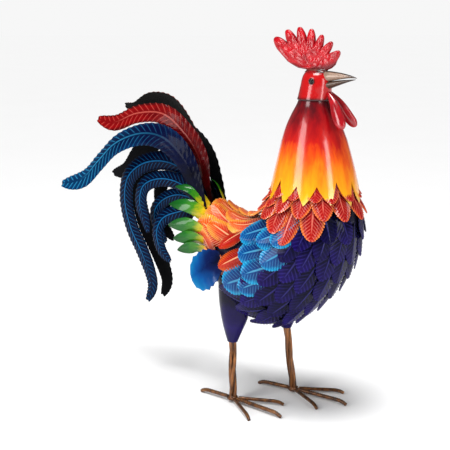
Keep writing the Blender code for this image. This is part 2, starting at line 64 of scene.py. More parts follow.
class Wire:
    def __init__(self, graph, socket):
        self.graph = graph
        self.socket = socket

    def math(self, operation, *others):
        return self.graph.node("ShaderNodeMath", {"operation": operation}, [self, *others])

    def turned(self, operation, other):
        return self.graph.node("ShaderNodeMath", {"operation": operation}, [other, self])

    __add__ = __radd__ = partialmethod(math, "ADD")
    __sub__ = partialmethod(math, "SUBTRACT")
    __rsub__ = partialmethod(turned, "SUBTRACT")
    __mul__ = __rmul__ = partialmethod(math, "MULTIPLY")
    __truediv__ = partialmethod(math, "DIVIDE")
    __rtruediv__ = partialmethod(turned, "DIVIDE")
    __pow__ = partialmethod(math, "POWER")
    __rpow__ = partialmethod(turned, "POWER")
    __neg__ = partialmethod(math, "MULTIPLY", -1)
    size = partialmethod(math, "ABSOLUTE")
    wave = partialmethod(math, "SINE")
    least = partialmethod(math, "MINIMUM")
    most = partialmethod(math, "MAXIMUM")

    def rise(self, low, high):
        # 0 below low, 1 above high, smooth between
        return self.graph.node("ShaderNodeMapRange", {"interpolation_type": "SMOOTHSTEP", "clamp": True},
                               {"Value": self, "From Min": low, "From Max": high})

    def other(self, name):
        return Wire(self.graph, self.socket.node.outputs[name])


class Graph:
    def __init__(self, tree):
        self.tree = tree

    def node(self, kind, settings=None, inputs=None, out=0):
        made = self.tree.nodes.new(kind)
        for name, value in (settings or {}).items():
            if name == "stops":
                ramp = made.color_ramp
                while len(ramp.elements) < len(value):
                    ramp.elements.new(0.5)
                for element, (place, colour) in zip(ramp.elements, value):
                    element.position = place
                    element.color = (*colour, 1.0)
            else:
                setattr(made, name, value)
        pairs = inputs.items() if isinstance(inputs, dict) else enumerate(inputs or [])
        for key, value in pairs:
            if isinstance(value, Wire):
                self.tree.links.new(value.socket, made.inputs[key])
            elif value is not None:
                made.inputs[key].default_value = value
        return Wire(self, made.outputs[out]) if len(made.outputs) else None

    def attribute(self, name, out="Fac"):
        return self.node("ShaderNodeAttribute", {"attribute_name": name}, out=out)

    def split(self, wire):
        x = self.node("ShaderNodeSeparateXYZ", inputs=[wire])
        return x, x.other("Y"), x.other("Z")

    def place(self):
        return self.node("ShaderNodeTexCoord", out="Object")

    def vane(self):
        # places on a feather plate: across is below 0 on its back, where under is 1
        across, down, rib = self.split(self.attribute("vane", "Vector"))
        return across, down, rib, (-across).rise(0.2, 0.6)

    def noise(self, scale, detail=2.0, rough=0.5):
        # a scale of three numbers stretches the grain
        where = self.place()
        if isinstance(scale, tuple):
            where = self.node("ShaderNodeMapping", inputs={"Vector": where, "Scale": scale})
            scale = 1.0
        values = {"Vector": where, "Scale": scale, "Detail": detail, "Roughness": rough}
        return self.node("ShaderNodeTexNoise", inputs=values)

    def mix(self, share, first, second):
        return self.node("ShaderNodeMix", {"data_type": "RGBA"},
                         [share, None, None, None, None, None, asColour(first), asColour(second)], out=2)

    def ramp(self, share, stops):
        return self.node("ShaderNodeValToRGB", {"stops": stops}, [share])

    def vector(self, operation, *parts):
        return self.node("ShaderNodeVectorMath", {"operation": operation}, parts)

    def scaled(self, wire, share):
        return self.node("ShaderNodeVectorMath", {"operation": "SCALE"}, {"Vector": wire, "Scale": share})

    def stored(self, name, kind="FLOAT"):
        return self.node("GeometryNodeInputNamedAttribute", {"data_type": kind}, {"Name": name})

    def objectMesh(self, wire):
        settings = {"transform_space": "ORIGINAL"}
        return self.node("GeometryNodeObjectInfo", settings, {"Object": wire}, "Geometry")


def asColour(value):
    return value if isinstance(value, Wire) else (*value, 1.0)


def enamel(name, paint, roughness=0.26, metallic=0.0, coat=0.5, coatRoughness=0.06, bumpDepth=0.0006,
           shine=0.25):
    # paint(graph) gives the wires for Base Color and, where it has them, Roughness and a bump height
    material = bpy.data.materials.new(name)
    material.use_nodes = True
    graph = Graph(material.node_tree)
    shader = material.node_tree.nodes["Principled BSDF"]
    constants = {"Roughness": roughness, "Metallic": metallic, "Coat Weight": coat,
                 "Coat Roughness": coatRoughness, "Specular IOR Level": shine}
    for socket, value in constants.items():
        shader.inputs[socket].default_value = value
    for socket, wire in paint(graph).items():
        if socket == "Bump":
            bump = {"Height": wire, "Distance": bumpDepth, "Strength": 1.0}
            wire = graph.node("ShaderNodeBump", inputs=bump)
            socket = "Normal"
        graph.tree.links.new(wire.socket, shader.inputs[socket])
    return material


def cloudPaint(dark, light, scale, detail=3.0, span=None, rough=None, bump=None):
    # two colours mixed by one noise, rough: the least roughness and what the noise adds
    def paint(graph):
        cloud = graph.noise(scale, detail)
        found = {"Base Color": graph.mix(cloud.rise(*span) if span else cloud, dark, light)}
        if rough:
            found["Roughness"] = rough[0] + cloud * rough[1]
        if bump:
            found["Bump"] = graph.noise(*bump)
        return found
    return paint


# meshes and pieces


def plainMesh(name, vertices, edges=(), faces=(), **attributes):
    # a mesh with numbers or vectors stored on its points
    mesh = bpy.data.meshes.new(name)
    mesh.from_pydata([tuple(vertex) for vertex in vertices], list(edges), list(faces))
    for key, values in attributes.items():
        vector = isinstance(values[0], (tuple, Vector))
        layer = mesh.attributes.new(key, "FLOAT_VECTOR" if vector else "FLOAT", "POINT")
        flat = [part for value in values for part in value] if vector else values
        layer.data.foreach_set("vector" if vector else "value", flat)
    return mesh


def finishMesh(mesh, sources, smoothAngle):
    # the sources go into the mesh with their faces turned outwards
    work = bmesh.new()
    for source in sources:
        work.from_mesh(source)
    bmesh.ops.recalc_face_normals(work, faces=work.faces)
    work.to_mesh(mesh)
    work.free()
    mesh.shade_smooth()
    mesh.set_sharp_from_angle(angle=math.radians(smoothAngle))
    return mesh


# edges of pressed sheet and bar stay sharp from this angle on
sheetCrease = 60


def newMesh(name, vertices, faces, smoothAngle=50, **attributes):
    mesh = plainMesh(name, vertices, (), faces, **attributes)
    return finishMesh(mesh, [mesh], smoothAngle)


def circlePoint(step, count):
    angle = 2 * math.pi * step / count
    return math.cos(angle), math.sin(angle)


def addPiece(name, mesh, material, slotName, *replaced):
    mesh.materials.clear()
    mesh.materials.append(material)
    piece = bpy.data.objects.new(name, mesh)
    bpy.context.scene.collection.objects.link(piece)
    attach(piece, "root")
    if replaced:
        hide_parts(*replaced)


def helperObject(name, mesh):
    helper = bpy.data.objects.new(name, mesh)
    bpy.context.scene.collection.objects.link(helper)
    return helper


def runTree(name, tree, mesh, values):
    # the tree's named inputs are set by identifier, then its result becomes a plain mesh
    carrier = helperObject(name + "Carrier", mesh)
    modifier = carrier.modifiers.new("tree", "NODES")
    modifier.node_group = tree
    for item in tree.interface.items_tree:
        if item.item_type == "SOCKET" and item.in_out == "INPUT" and item.name in values:
            modifier[item.identifier] = values[item.name]
    carrier.update_tag()
    bpy.context.view_layer.update()
    depsgraph = bpy.context.evaluated_depsgraph_get()
    shown = carrier.evaluated_get(depsgraph)
    result = bpy.data.meshes.new_from_object(shown, preserve_all_data_layers=True, depsgraph=depsgraph)
    result.name = name
    bpy.data.objects.remove(carrier)
    return result


def newTree(name, inputs):
    tree = bpy.data.node_groups.new(name, "GeometryNodeTree")
    tree.interface.new_socket("Geometry", in_out="INPUT", socket_type="NodeSocketGeometry")
    for label, kind in inputs.items():
        tree.interface.new_socket(label, in_out="INPUT", socket_type="NodeSocket" + kind)
    tree.interface.new_socket("Geometry", in_out="OUTPUT", socket_type="NodeSocketGeometry")
    graph = Graph(tree)
    start = graph.node("NodeGroupInput")
    return tree, graph, {item.name: Wire(graph, item) for item in start.socket.node.outputs if item.name}


def finishTree(graph, geometry, paint):
    whole = graph.node("GeometryNodeRealizeInstances", inputs=[geometry])
    painted = graph.node("GeometryNodeSetMaterial", inputs={"Geometry": whole, "Material": paint})
    graph.node("NodeGroupOutput", inputs=[painted])


def bandFaces(low, high, count):
    # faces between the ring of points that starts at low and the one that starts at high
    return [(low + side, low + (side + 1) % count, high + (side + 1) % count, high + side)
            for side in range(count)]


def sleeveFaces(rings, count, first=0):
    return [face for ring in range(rings - 1)
            for face in bandFaces(first + ring * count, first + (ring + 1) * count, count)]


def tubeFaces(rings, count):
    caps = [tuple(range(count)), tuple(range((rings - 1) * count, rings * count))]
    return caps + sleeveFaces(rings, count)


def loftMesh(name, rings, smoothAngle=50):
    points = [point for ring in rings for point in ring]
    return newMesh(name, points, tubeFaces(len(rings), len(rings[0])), smoothAngle)


def smooth(rows, place):
    # Catmull-Rom through rows of numbers, place counts rows
    last = len(rows) - 1
    place = min(max(place, 0.0), float(last))
    start = min(int(place), last - 1)
    t = place - start
    picks = [rows[min(max(start + step, 0), last)] for step in (-1, 0, 1, 2)]
    return [b + 0.5 * t * (c - a + t * (2 * a - 5 * b + 4 * c - d + t * (3 * (b - c) + d - a)))
            for a, b, c, d in zip(*picks)]


def evenPath(points, count, finer=14):
    # even steps along a smooth curve, measured on finer steps
    samples = finer * len(points)
    last = len(points) - 1
    curve = [Vector(smooth(points, last * step / samples)) for step in range(samples + 1)]
    lengths = [0.0]
    for before, after in zip(curve, curve[1:]):
        lengths.append(lengths[-1] + (after - before).length)
    path = []
    index = 1
    for step in range(count + 1):
        target = lengths[-1] * step / count
        while index < samples and lengths[index] < target:
            index += 1
        part = (target - lengths[index - 1]) / max(lengths[index] - lengths[index - 1], 1e-9)
        path.append(curve[index - 1].lerp(curve[index], min(max(part, 0.0), 1.0)))
    return path


# camera, lights and floor

view = {"turn": 37.0, "distance": 1.6, "sideways": -0.0819, "height": 0.65, "down": 12.36, "lens": 81.6}
turn = math.radians(view["turn"])
rightward = Vector((math.cos(turn), math.sin(turn), 0))
outward = Vector((math.sin(turn), -math.cos(turn), 0))
cameraData = bpy.data.cameras.new("camera")
cameraData.lens = view["lens"]
cameraData.sensor_width = 36
cameraData.clip_end = 20
camera = bpy.data.objects.new("camera", cameraData)
camera.location = outward * view["distance"] + rightward * view["sideways"] + shift
camera.location.z += view["height"]
camera.rotation_euler = (math.radians(90 - view["down"]), 0, turn)
bpy.context.scene.collection.objects.link(camera)
bpy.context.scene.camera = camera

studio = {
    # place in camera terms (right, towards the camera, up), size, power
    "leftStrip": {"place": (-1.15, 0.95, 0.58), "size": (0.60, 1.3), "power": 18},
    "rightStrip": {"place": (0.98, 1.25, 0.35), "size": (0.34, 1.3), "power": 11},
    "top": {"place": (0.1, 0.2, 1.7), "size": (0.7, 0.5), "power": 5},
    "sun": {"lean": (-0.18, 0.12), "strength": 2.65, "softness": 28},
    # what the lens sees, what the bird sees
    "world": (0.93, 0.16),
}
aim = spot(40, 0, 560)


def lampPlace(sideStep, near, up):
    return aim + rightward * sideStep + outward * near + Vector((0, 0, up))


def addLight(kind, name, place, power):
    light = bpy.data.lights.new(name, kind)
    light.energy = power
    holder = bpy.data.objects.new(name, light)
    holder.location = place
    holder.rotation_euler = (aim - place).to_track_quat("-Z", "Y").to_euler()
    bpy.context.scene.collection.objects.link(holder)
    return light


for lampName in ("leftStrip", "rightStrip", "top"):
    lamp = studio[lampName]
    light = addLight("AREA", lampName, lampPlace(*lamp["place"]), lamp["power"])
    light.shape = "RECTANGLE"
    light.size, light.size_y = lamp["size"]
sun = addLight("SUN", "sun", lampPlace(*studio["sun"]["lean"], 1), studio["sun"]["strength"])
sun.angle = math.radians(studio["sun"]["softness"])
world = bpy.data.worlds.new("studio")
bpy.context.scene.world = world
world.use_nodes = True
sky = Graph(world.node_tree)
background = world.node_tree.nodes["Background"]
background.inputs["Color"].default_value = (1, 1, 1, 1)
# the lens sees white paper, the bird a dimmer room
seen = sky.node("ShaderNodeLightPath", out="Is Camera Ray")
strength = seen * (studio["world"][0] - studio["world"][1]) + studio["world"][1]
world.node_tree.links.new(strength.socket, background.inputs["Strength"])
bpy.context.scene.view_settings.view_transform = "Standard"


floorMesh = newMesh("floor", [(-30, -30, 0), (30, -30, 0), (30, 30, 0), (-30, 30, 0)], [(0, 1, 2, 3)])
floorPaint = cloudPaint((0.93, 0.93, 0.93), (0.95, 0.95, 0.95), 3.0, 2.0)
floorMesh.materials.append(enamel("floorPaper", floorPaint, 0.9, coat=0.0, shine=0.0))
floor = helperObject("floor", floorMesh)
print("stage set")

# the body that carries the feathers

# rows: back x, back z, belly x, belly z, half width, from inside the neck to behind the rump
bodyShape = {
    "rows": (
        (44, 720, 190, 720, 73), (25, 650, 209, 650, 91), (18, 603, 216, 603, 99),
        (-6, 561, 239, 537, 125), (-30, 531, 231, 456, 145), (-56, 513, 196, 370, 155),
        (-89, 505, 121, 282, 154), (-125, 507, 27, 226, 141), (-162, 518, -74, 243, 111),
        (-198, 539, -164, 336, 69), (-240, 570, -210, 398, 62)),
    "before": 2,
    "spans": 7,
    "reach": (-0.27, 1.13),
}


def bodyPlace(along, around):
    row = bodyShape["before"] + bodyShape["spans"] * along
    backX, backZ, bellyX, bellyZ, half = smooth(bodyShape["rows"], row)
    angle = math.radians(around)
    return spot((backX + bellyX) / 2 + (backX - bellyX) / 2 * math.cos(angle), half * math.sin(angle),
                (backZ + bellyZ) / 2 + (backZ - bellyZ) / 2 * math.cos(angle))


def bodyUp(along, around, nudge=0.01):
    forward = bodyPlace(along + nudge, around) - bodyPlace(along - nudge, around)
    sideways = bodyPlace(along, around + 1) - bodyPlace(along, around - 1)
    return sideways.cross(forward).normalized()


def makeSkin(rings=90, sides=72):
    first, last = bodyShape["reach"]
    vertices, ups = [], []
    for ring in range(rings + 1):
        along = first + (last - first) * ring / rings
        for side in range(sides):
            around = 360 * side / sides
            vertices.append(bodyPlace(along, around))
            ups.append(bodyUp(along, around))
    faces = sleeveFaces(rings + 1, sides)
    return helperObject("skin", plainMesh("skin", vertices, (), faces, skyward=ups))


skin = makeSkin()


# one pressed feather plate: ribs sweep from a raised midrib to a scalloped edge


def leafWidth(v, shape):
    widest, root, blunt = shape["widest"], shape["root"], shape["blunt"]
    if v <= widest:
        return root + (1 - root) * math.sin(max(v, 0.0) / widest * math.pi / 2)
    hold = shape.get("hold", widest)
    t = min(max(v - hold, 0.0) / (1 - hold), 1.0)
    return max(1 - t ** 2, 0.0) ** blunt


def barbEnd(start, shape, tries=60):
    # how far from the midrib the rib that leaves it at start meets the outline
    half, length = shape["width"] / 2, shape["length"]
    reach = 0.0
    step = half / tries
    while reach < half:
        ahead = reach + step
        if ahead > half * leafWidth((start + shape["sweep"] * ahead) / length, shape):
            break
        reach = ahead
    return max(reach, step)


# where the last rib starts, the first column and the rest, where the ribs begin across the plate
# and over how much they rise, the midrib's width and how much lower it is at the tip
press = {"last": 0.985, "column": (0.14, 0.86), "relief": (0.05, 0.25), "midrib": 0.09, "fall": 0.7}


def makePlate(name, shape):
    half, length, columns = shape["width"] / 2, shape["length"], shape["columns"]
    first = 0.0 if "hold" in shape else -shape["sweep"] * half * shape["root"]
    rows = 2 * shape["ribs"]
    top, vane, reach, rise = [], [], [], []
    near, rest = press["column"]
    shares = [0.0, near] + [near + rest * (step / (columns - 1)) for step in range(1, columns)]
    line = [-share for share in shares[:0:-1]] + shares
    backLine = [1, 0, -1]
    count = len(line) + len(backLine)
    for row in range(rows + 1):
        share = row / rows
        start = first + (length * press["last"] - first) * share
        crest = row % 2
        end = barbEnd(start, shape) * (1 + shape["tooth"] * (crest - 0.5))
        for part in line + backLine:
            upper = len(top) % count < len(line)
            x = end * part
            v = start + shape["sweep"] * abs(x)
            across = abs(x) / half
            height = -shape["dish"] * across ** 2
            if upper:
                begin, full = press["relief"]
                relief = shape["relief"] * min(1.0, max(0.0, (abs(part) - begin) / full))
                height += shape["thick"] + relief * (crest - 0.5)
                ridge = math.exp(-(x / (press["midrib"] * half)) ** 2)
                height += shape["midrib"] * ridge * (1 - share * press["fall"])
            top.append((x, v, height))
            vane.append((abs(part) if upper else -1.0, min(max(v / length, 0.0), 1.0), float(crest)))
            reach.append(v)
            rise.append(height)
    faces = tubeFaces(rows + 1, count)
    return newMesh(name, top, faces, sheetCrease, vane=vane, reach=reach, rise=rise)


# the coats: plates set on the skin by a node tree, each bent to lie along it

coatTree, graph, socket = newTree("featherCoat", {"Plate": "Object", "Skin": "Object", "Curl": "Float",
                                                   "Paint": "Material"})
skinInfo = graph.objectMesh(socket["Skin"])
turned = graph.node("FunctionNodeEulerToRotation", inputs=[graph.stored("turn", "FLOAT_VECTOR")])
placed = graph.node("GeometryNodeInstanceOnPoints", inputs={
    "Points": socket["Geometry"], "Instance": graph.objectMesh(socket["Plate"]), "Rotation": turned,
    "Scale": graph.stored("size", "FLOAT_VECTOR")})
joined = graph.node("GeometryNodeRealizeInstances", inputs=[placed])
nearest = graph.node("GeometryNodeProximity", {"target_element": "FACES"}, [skinInfo])
skyward = graph.node("GeometryNodeSampleNearestSurface", {"data_type": "FLOAT_VECTOR"},
                     {"Mesh": skinInfo, "Value": graph.stored("skyward", "FLOAT_VECTOR")})
# the curl grows with the cube of the way down the plate, from its full value at 50 mm
along = graph.stored("reach") * graph.stored("stretch")
height = graph.stored("rise") + graph.stored("lift") + along * graph.stored("lean")
height = height + (along * 20) ** 3 * socket["Curl"]
target = graph.vector("ADD", nearest, graph.scaled(skyward, height))
bent = graph.node("GeometryNodeSetPosition", inputs={"Geometry": joined, "Position": target})
finishTree(graph, bent, socket["Paint"])


def plateRoot(tipAlong, tipAround, swing, length, step=0.005, longest=0.9):
    # goes back from the tip until the plate's length is used up
    tip = bodyPlace(tipAlong, tipAround)
    span = 0.0
    while span < longest:
        span += step
        root = bodyPlace(tipAlong - span, tipAround - swing * span)
        if (root - tip).length >= length:
            break
    return tipAlong - span, tipAround - swing * span


loose = {"scale": (0.97, 1.03), "turn": (-3, 3), "tint": (-0.12, 0.12), "curl": 0.0006}


def layCoat(name, plateShape, tips, seed, paint, slotName, *replaced):
    # tips: (along, around, swing in degrees per whole body, scale, step, tint)
    chance = random.Random(seed)
    plate = helperObject(name + "Plate", makePlate(name + "Plate", plateShape))
    roots = []
    pointValues = {"turn": [], "size": [], "lift": [], "lean": [], "stretch": [], "tint": []}
    for tipAlong, tipAround, swing, scale, step, tint in tips:
        scale *= chance.uniform(*loose["scale"])
        length = plateShape["length"] * scale
        rootAlong, rootAround = plateRoot(tipAlong, tipAround, swing, length)
        root = bodyPlace(rootAlong, rootAround)
        up = bodyUp(rootAlong, rootAround)
        ahead = bodyPlace(tipAlong, tipAround) - root
        ahead = (ahead - up * ahead.dot(up)).normalized()
        ahead = Matrix.Rotation(math.radians(chance.uniform(*loose["turn"])), 3, up) @ ahead
        across = ahead.cross(up)
        roots.append(root)
        values = {"turn": tuple(Matrix((across, ahead, up)).transposed().to_euler()),
                  "size": (scale, scale, 1.0), "stretch": scale, "lift": plateShape["rootLift"] + step,
                  "lean": (plateShape["tipLift"] - plateShape["rootLift"]) / length,
                  "tint": min(max(tint + chance.uniform(*loose["tint"]), 0.0), 1.0)}
        for key, value in values.items():
            pointValues[key].append(value)
    points = plainMesh(name + "Points", roots, **pointValues)
    mesh = runTree(name, coatTree, points,
                   {"Plate": plate, "Skin": skin, "Curl": loose["curl"], "Paint": paint})
    bpy.data.objects.remove(plate)
    mesh.set_sharp_from_angle(angle=math.radians(sheetCrease))
    addPiece(name, mesh, paint, slotName, *replaced)
    print(name, len(tips), "plates", len(mesh.polygons), "faces")


# feather paints: vane.x runs from midrib to edge, vane.y from root to tip, vane.z is 1 on a rib


def featherPaint(colours, tip=(0.35, 0.95), edge=(0.62, 0.98), ribGlow=0.45, ribRun=(-0.2, 0.1),
                 ribFade=0.0, ribStart=0.6, coat=0.5):
    # colours: root, middle, tip, edge, rib, other (what a whole plate may turn to by its tint); the root
    # colour is partly painted shade under the plate above, the rib colour is a painted highlight, the
    # groove colour is painted shade between the ribs
    def paint(graph):
        across, down, rib, under = graph.vane()
        tint = graph.attribute("tint")
        cloud = graph.noise(45.0, 3.0)
        drift = down + (cloud - 0.5) * 0.5
        # darker towards the root: partly the plate's own paint, partly painted shade under the plate that
        # overlaps it
        body = graph.mix(drift.rise(0.0, tip[0]), colours["root"], colours["middle"])
        body = graph.mix(tint, body, graph.mix(drift.rise(0.1, 0.9), *colours["other"]))
        plain = 1 - tint * 0.95
        body = graph.mix(drift.rise(tip[0], tip[1]) * (across * 0.6 + 0.4) * plain, body, colours["tip"])
        rim = (across + (cloud - 0.5) * 0.35).rise(*edge) * drift.rise(0.25, 0.7) * plain
        body = graph.mix(rim, body, colours["edge"])
        # painted highlight: rib crests are lightened toward the rib colour, strongest over the run given by
        # ribRun
        bright = down.rise(*ribRun) * (1 - across * ribFade)
        shown = rib.rise(ribStart, 1.0) * across.rise(0.08, 0.3) * bright * plain * ribGlow
        body = graph.mix(shown, body, colours["rib"])
        # painted highlight along the midrib, in the same rib colour
        quill = (1 - across.rise(0.03, 0.11)) * (1 - down.rise(0.75, 0.9)) * bright
        body = graph.mix(quill * (0.25 + ribGlow * 0.6), body, colours["rib"])
        # painted shade: the grooves between the ribs are darkened toward the groove colour
        grooveShade = (0.5 - rib).rise(0.0, 0.5) * 0.35 * across.rise(0.05, 0.3)
        body = graph.mix(under, graph.mix(grooveShade, body, colours["groove"]), colours["under"])
        return {"Base Color": body, "Roughness": 0.20 + cloud * 0.14 + under * 0.3,
                "Coat Weight": (1 - under * 0.8) * coat, "Bump": graph.noise(700.0, 2.0) * 0.25}
    return paint


paints = {
    "collar": {"root": (0.05, 0.001, 0.001), "middle": (0.26, 0.002, 0.003), "tip": (0.52, 0.012, 0.004),
               "edge": (0.80, 0.20, 0.02), "rib": (0.78, 0.22, 0.15), "groove": (0.12, 0.001, 0.002),
               "other": ((0.12, 0.001, 0.002), (0.38, 0.004, 0.005)), "under": (0.006, 0.004, 0.004)},
    "breast": {"root": (0.001, 0.001, 0.004), "middle": (0.002, 0.001, 0.018), "tip": (0.013, 0.003, 0.13),
               "edge": (0.006, 0.002, 0.060), "rib": (0.04, 0.035, 0.22), "groove": (0.001, 0.001, 0.006),
               "other": ((0.001, 0.001, 0.008), (0.003, 0.003, 0.02)), "under": (0.002, 0.002, 0.004)},
    "wing": {"root": (0.001, 0.002, 0.02), "middle": (0.001, 0.012, 0.10), "tip": (0.002, 0.12, 0.36),
             "edge": (0.003, 0.32, 0.58), "rib": (0.10, 0.50, 0.74), "groove": (0.001, 0.02, 0.10),
             "other": ((0.003, 0.01, 0.08), (0.004, 0.12, 0.40)), "under": (0.002, 0.003, 0.006)},
    "saddle": {"root": (0.16, 0.002, 0.001), "middle": (0.54, 0.020, 0.002), "tip": (0.82, 0.19, 0.006),
               "edge": (0.88, 0.36, 0.02), "rib": (0.94, 0.58, 0.30), "groove": (0.34, 0.012, 0.002),
               "other": ((0.16, 0.001, 0.002), (0.42, 0.005, 0.003)), "under": (0.006, 0.005, 0.006)},
}


def featherEnamel(name, shine, **pattern):
    return enamel(name + "Enamel", featherPaint(paints[name], **pattern), shine=shine)


collarEnamel = featherEnamel("collar", 0.18, tip=(0.5, 1.1), edge=(0.74, 1.02), ribGlow=0.5, coat=0.3)
breastEnamel = featherEnamel("breast", 0.04, ribGlow=0.4, coat=0.12)
wingEnamel = featherEnamel("wing", 0.10, tip=(0.58, 1.0), edge=(0.58, 0.98), ribGlow=0.32, coat=0.16)
saddleEnamel = featherEnamel("saddle", 0.10, tip=(0.45, 1.0), edge=(0.45, 0.9), ribGlow=0.5, coat=0.2)


def bothSides(tips):
    # a plate off the middle line has its pair on the left
    found = []
    for along, around, swing, scale, step, tint in tips:
        found.append((along, -around, -swing, scale, step, tint))
        if 0 < around < 180:
            found.append((along, around, swing, scale, step, tint))
    return found


# what most plates share
pressed = {"root": 0.5, "columns": 4, "relief": 0.0013, "thick": 0.0009, "tooth": 0.05}

collar = {
    "plate": {**pressed, "width": 0.035, "length": 0.076, "widest": 0.56, "blunt": 0.58, "sweep": 1.1,
              "ribs": 16, "midrib": 0.0011, "dish": 0.0014, "rootLift": -0.0030, "tipLift": 0.0042},
    "rows": ((0.060, -94.0, 14), (0.148, -107.0, 14)),
    "lower": ((0.240, 14, 0), (0.235, 39, 0), (0.245, 62.8, 6), (0.275, 81.4, 6), (0.311, 100.9, 8),
              (0.241, 123.5, 0)),
}
collarTips = []
for row, (along, first, count) in enumerate(collar["rows"]):
    for step in range(count):
        around = (first + 360 * step / count + 180) % 360 - 180
        lift = 0.0008 * (step % 2) + 0.0012 * (1 - row)
        collarTips.append((along, around, 0, 1.0, lift, 0.5 - 0.3 * row))
collarTips += bothSides([(along, around, swing, 1.0, -0.0004 * (place % 2), 0.1)
                         for place, (along, around, swing) in enumerate(collar["lower"])])
layCoat("collarFeathers", collar["plate"], collarTips, 3, collarEnamel, "collar_red", "collar")

breast = {
    "plate": {**pressed, "width": 0.036, "length": 0.060, "widest": 0.5, "blunt": 0.60, "sweep": 0.9,
              "ribs": 9, "columns": 3, "relief": 0.0010, "midrib": 0.0011, "dish": 0.0016,
              "rootLift": -0.0034, "tipLift": 0.0036},
    "first": 0.252, "pitch": 0.0795, "rows": 11, "upperEdge": (145, 114, 103, 93), "lowest": 90,
    "spacing": (21.5, 27.0), "wideFrom": 6,
}
breastTips = []
for row in range(breast["rows"]):
    along = breast["first"] + breast["pitch"] * row
    spacing = breast["spacing"][0 if row < breast["wideFrom"] else 1]
    edge = breast["upperEdge"][row] if row < len(breast["upperEdge"]) else breast["lowest"]
    around = 180 if row % 2 else 180 - spacing / 2
    column = 0
    while around >= edge:
        swing = 90 if row == 0 else -35 * math.sin(math.radians(180 - around))
        sink = 0.02 * math.cos(math.radians(2 * (180 - around)))
        tint = (row * 5 + column * 3) % 4 / 4
        breastTips.append((along + sink, around, swing, 1.0, 0.0009 * (column % 2), tint))
        around -= spacing
        column += 1
layCoat("breastFeathers", breast["plate"], bothSides(breastTips), 5, breastEnamel, "breast_navy", "breast")

wing = {
    "plate": {**pressed, "width": 0.043, "length": 0.062, "widest": 0.58, "blunt": 0.5, "sweep": 0.75,
              "ribs": 13, "midrib": 0.0009, "dish": 0.0022, "tooth": 0.04, "rootLift": -0.0028,
              "tipLift": 0.0052},
    # tip along the body, tip round it, swing, scale, step
    "tips": ((0.330, 90, -90, 0.9, 0.0012), (0.386, 72.8, -150, 0.9, 0.0010),
             (0.466, 52.6, -100, 1.0, 0.0008), (0.462, 89.5, -115, 1.0, 0.0012),
             (0.543, 70.5, -94, 1.05, 0.0006), (0.593, 88.7, -82, 1.1, 0.0010),
             (0.766, 98.3, 13, 1.15, 0.0004), (0.665, 101, -30, 1.0, 0.0)),
    "tint": 0.25,
}
wingTips = bothSides([(*tip, wing["tint"]) for tip in wing["tips"]])
layCoat("wingFeathers", wing["plate"], wingTips, 9, wingEnamel, "wing_blue", "left_wing", "right_wing")

saddle = {
    "plate": {**pressed, "width": 0.039, "length": 0.080, "widest": 0.52, "blunt": 0.64, "sweep": 1.0,
              "ribs": 18, "midrib": 0.0013, "dish": 0.0020, "rootLift": -0.0034, "tipLift": 0.0050},
    # tip along the body, tip round it, swing, scale, step, redness
    "tips": ((0.46, 16, 0, 0.70, 0.0006, 0.25), (0.66, 0, 0, 0.85, 0.0004, 0.2),
             (0.691, 34, -27, 0.9, 0.0, 0.15), (0.718, 57.7, 46, 0.80, 0.0002, 0.95),
             (0.755, 80.3, 30, 0.88, 0.0004, 1.0), (0.84, 14, 0, 0.8, -0.0004, 0.1),
             (1.000, 29, 7, 0.9, 0.0, 0.05), (0.90, 47, 0, 0.85, 0.0004, 0.3),
             (1.046, 64.8, 34, 1.1, 0.0002, 0.0), (1.02, 0, 0, 0.9, 0.0, 0.0),
             (0.92, 88, 20, 0.85, 0.0006, 0.5), (1.100, 96, 70, 0.95, 0.0012, 0.1),
             (1.07, 118, 60, 0.8, 0.0016, 0.15)),
}
layCoat("saddleFeathers", saddle["plate"], bothSides(saddle["tips"]), 11, saddleEnamel, "saddle_orange",
        "back", "saddle")
print("coats laid")


# neck: one cone of sheet with a jagged lower edge that hangs over the collar

neck = {
    # height, radius, shift forward
    "profile": ((572, 121.5, 6), (600, 113, 6), (633, 106, 6), (679, 95, 5), (725, 83, 3), (756, 72, 1),
                (787, 58, 0), (825, 40, 0)),
    "middle": 111, "teeth": 13, "tip": (577, 5), "notch": (637, 15), "rows": 30, "steps": 10, "seed": 7,
    # how far a tooth's start and tip may move, how its two sides curve
    "loose": (0.08, 0.16), "curve": (0.8, 1.25),
}


def neckRing(height):
    profile = neck["profile"]
    for low, high in zip(profile, profile[1:]):
        if height <= high[0]:
            break
    place = profile.index(low) + (height - low[0]) / (high[0] - low[0])
    _, radius, forward = smooth(profile, place)
    return radius, neck["middle"] + forward


def neckEdge():
    # angle and height of the lower edge, tooth by tooth
    chance = random.Random(neck["seed"])
    teeth, edge = neck["teeth"], []
    looseStart, looseTip = neck["loose"]
    notches = [neck["notch"][0] + chance.uniform(-1, 1) * neck["notch"][1] for _ in range(teeth)]
    for tooth in range(teeth):
        start = (tooth + chance.uniform(-looseStart, looseStart) * (tooth > 0)) / teeth
        middle = (tooth + 0.5 + chance.uniform(-looseTip, looseTip)) / teeth
        tip = neck["tip"][0] + chance.uniform(-1, 1) * neck["tip"][1]
        edge.append((start, notches[tooth], middle, tip))
    found = []
    for tooth, (start, notch, middle, tip) in enumerate(edge):
        after = edge[(tooth + 1) % teeth]
        end = after[0] + (1 if tooth == teeth - 1 else 0)
        half = neck["steps"] // 2
        sides = ((start, middle, notch, tip), (middle, end, tip, after[1]))
        for (here, there, low, high), power in zip(sides, neck["curve"]):
            for share in (step / half for step in range(half)):
                found.append((here + (there - here) * share, low + (high - low) * share ** power))
    return found


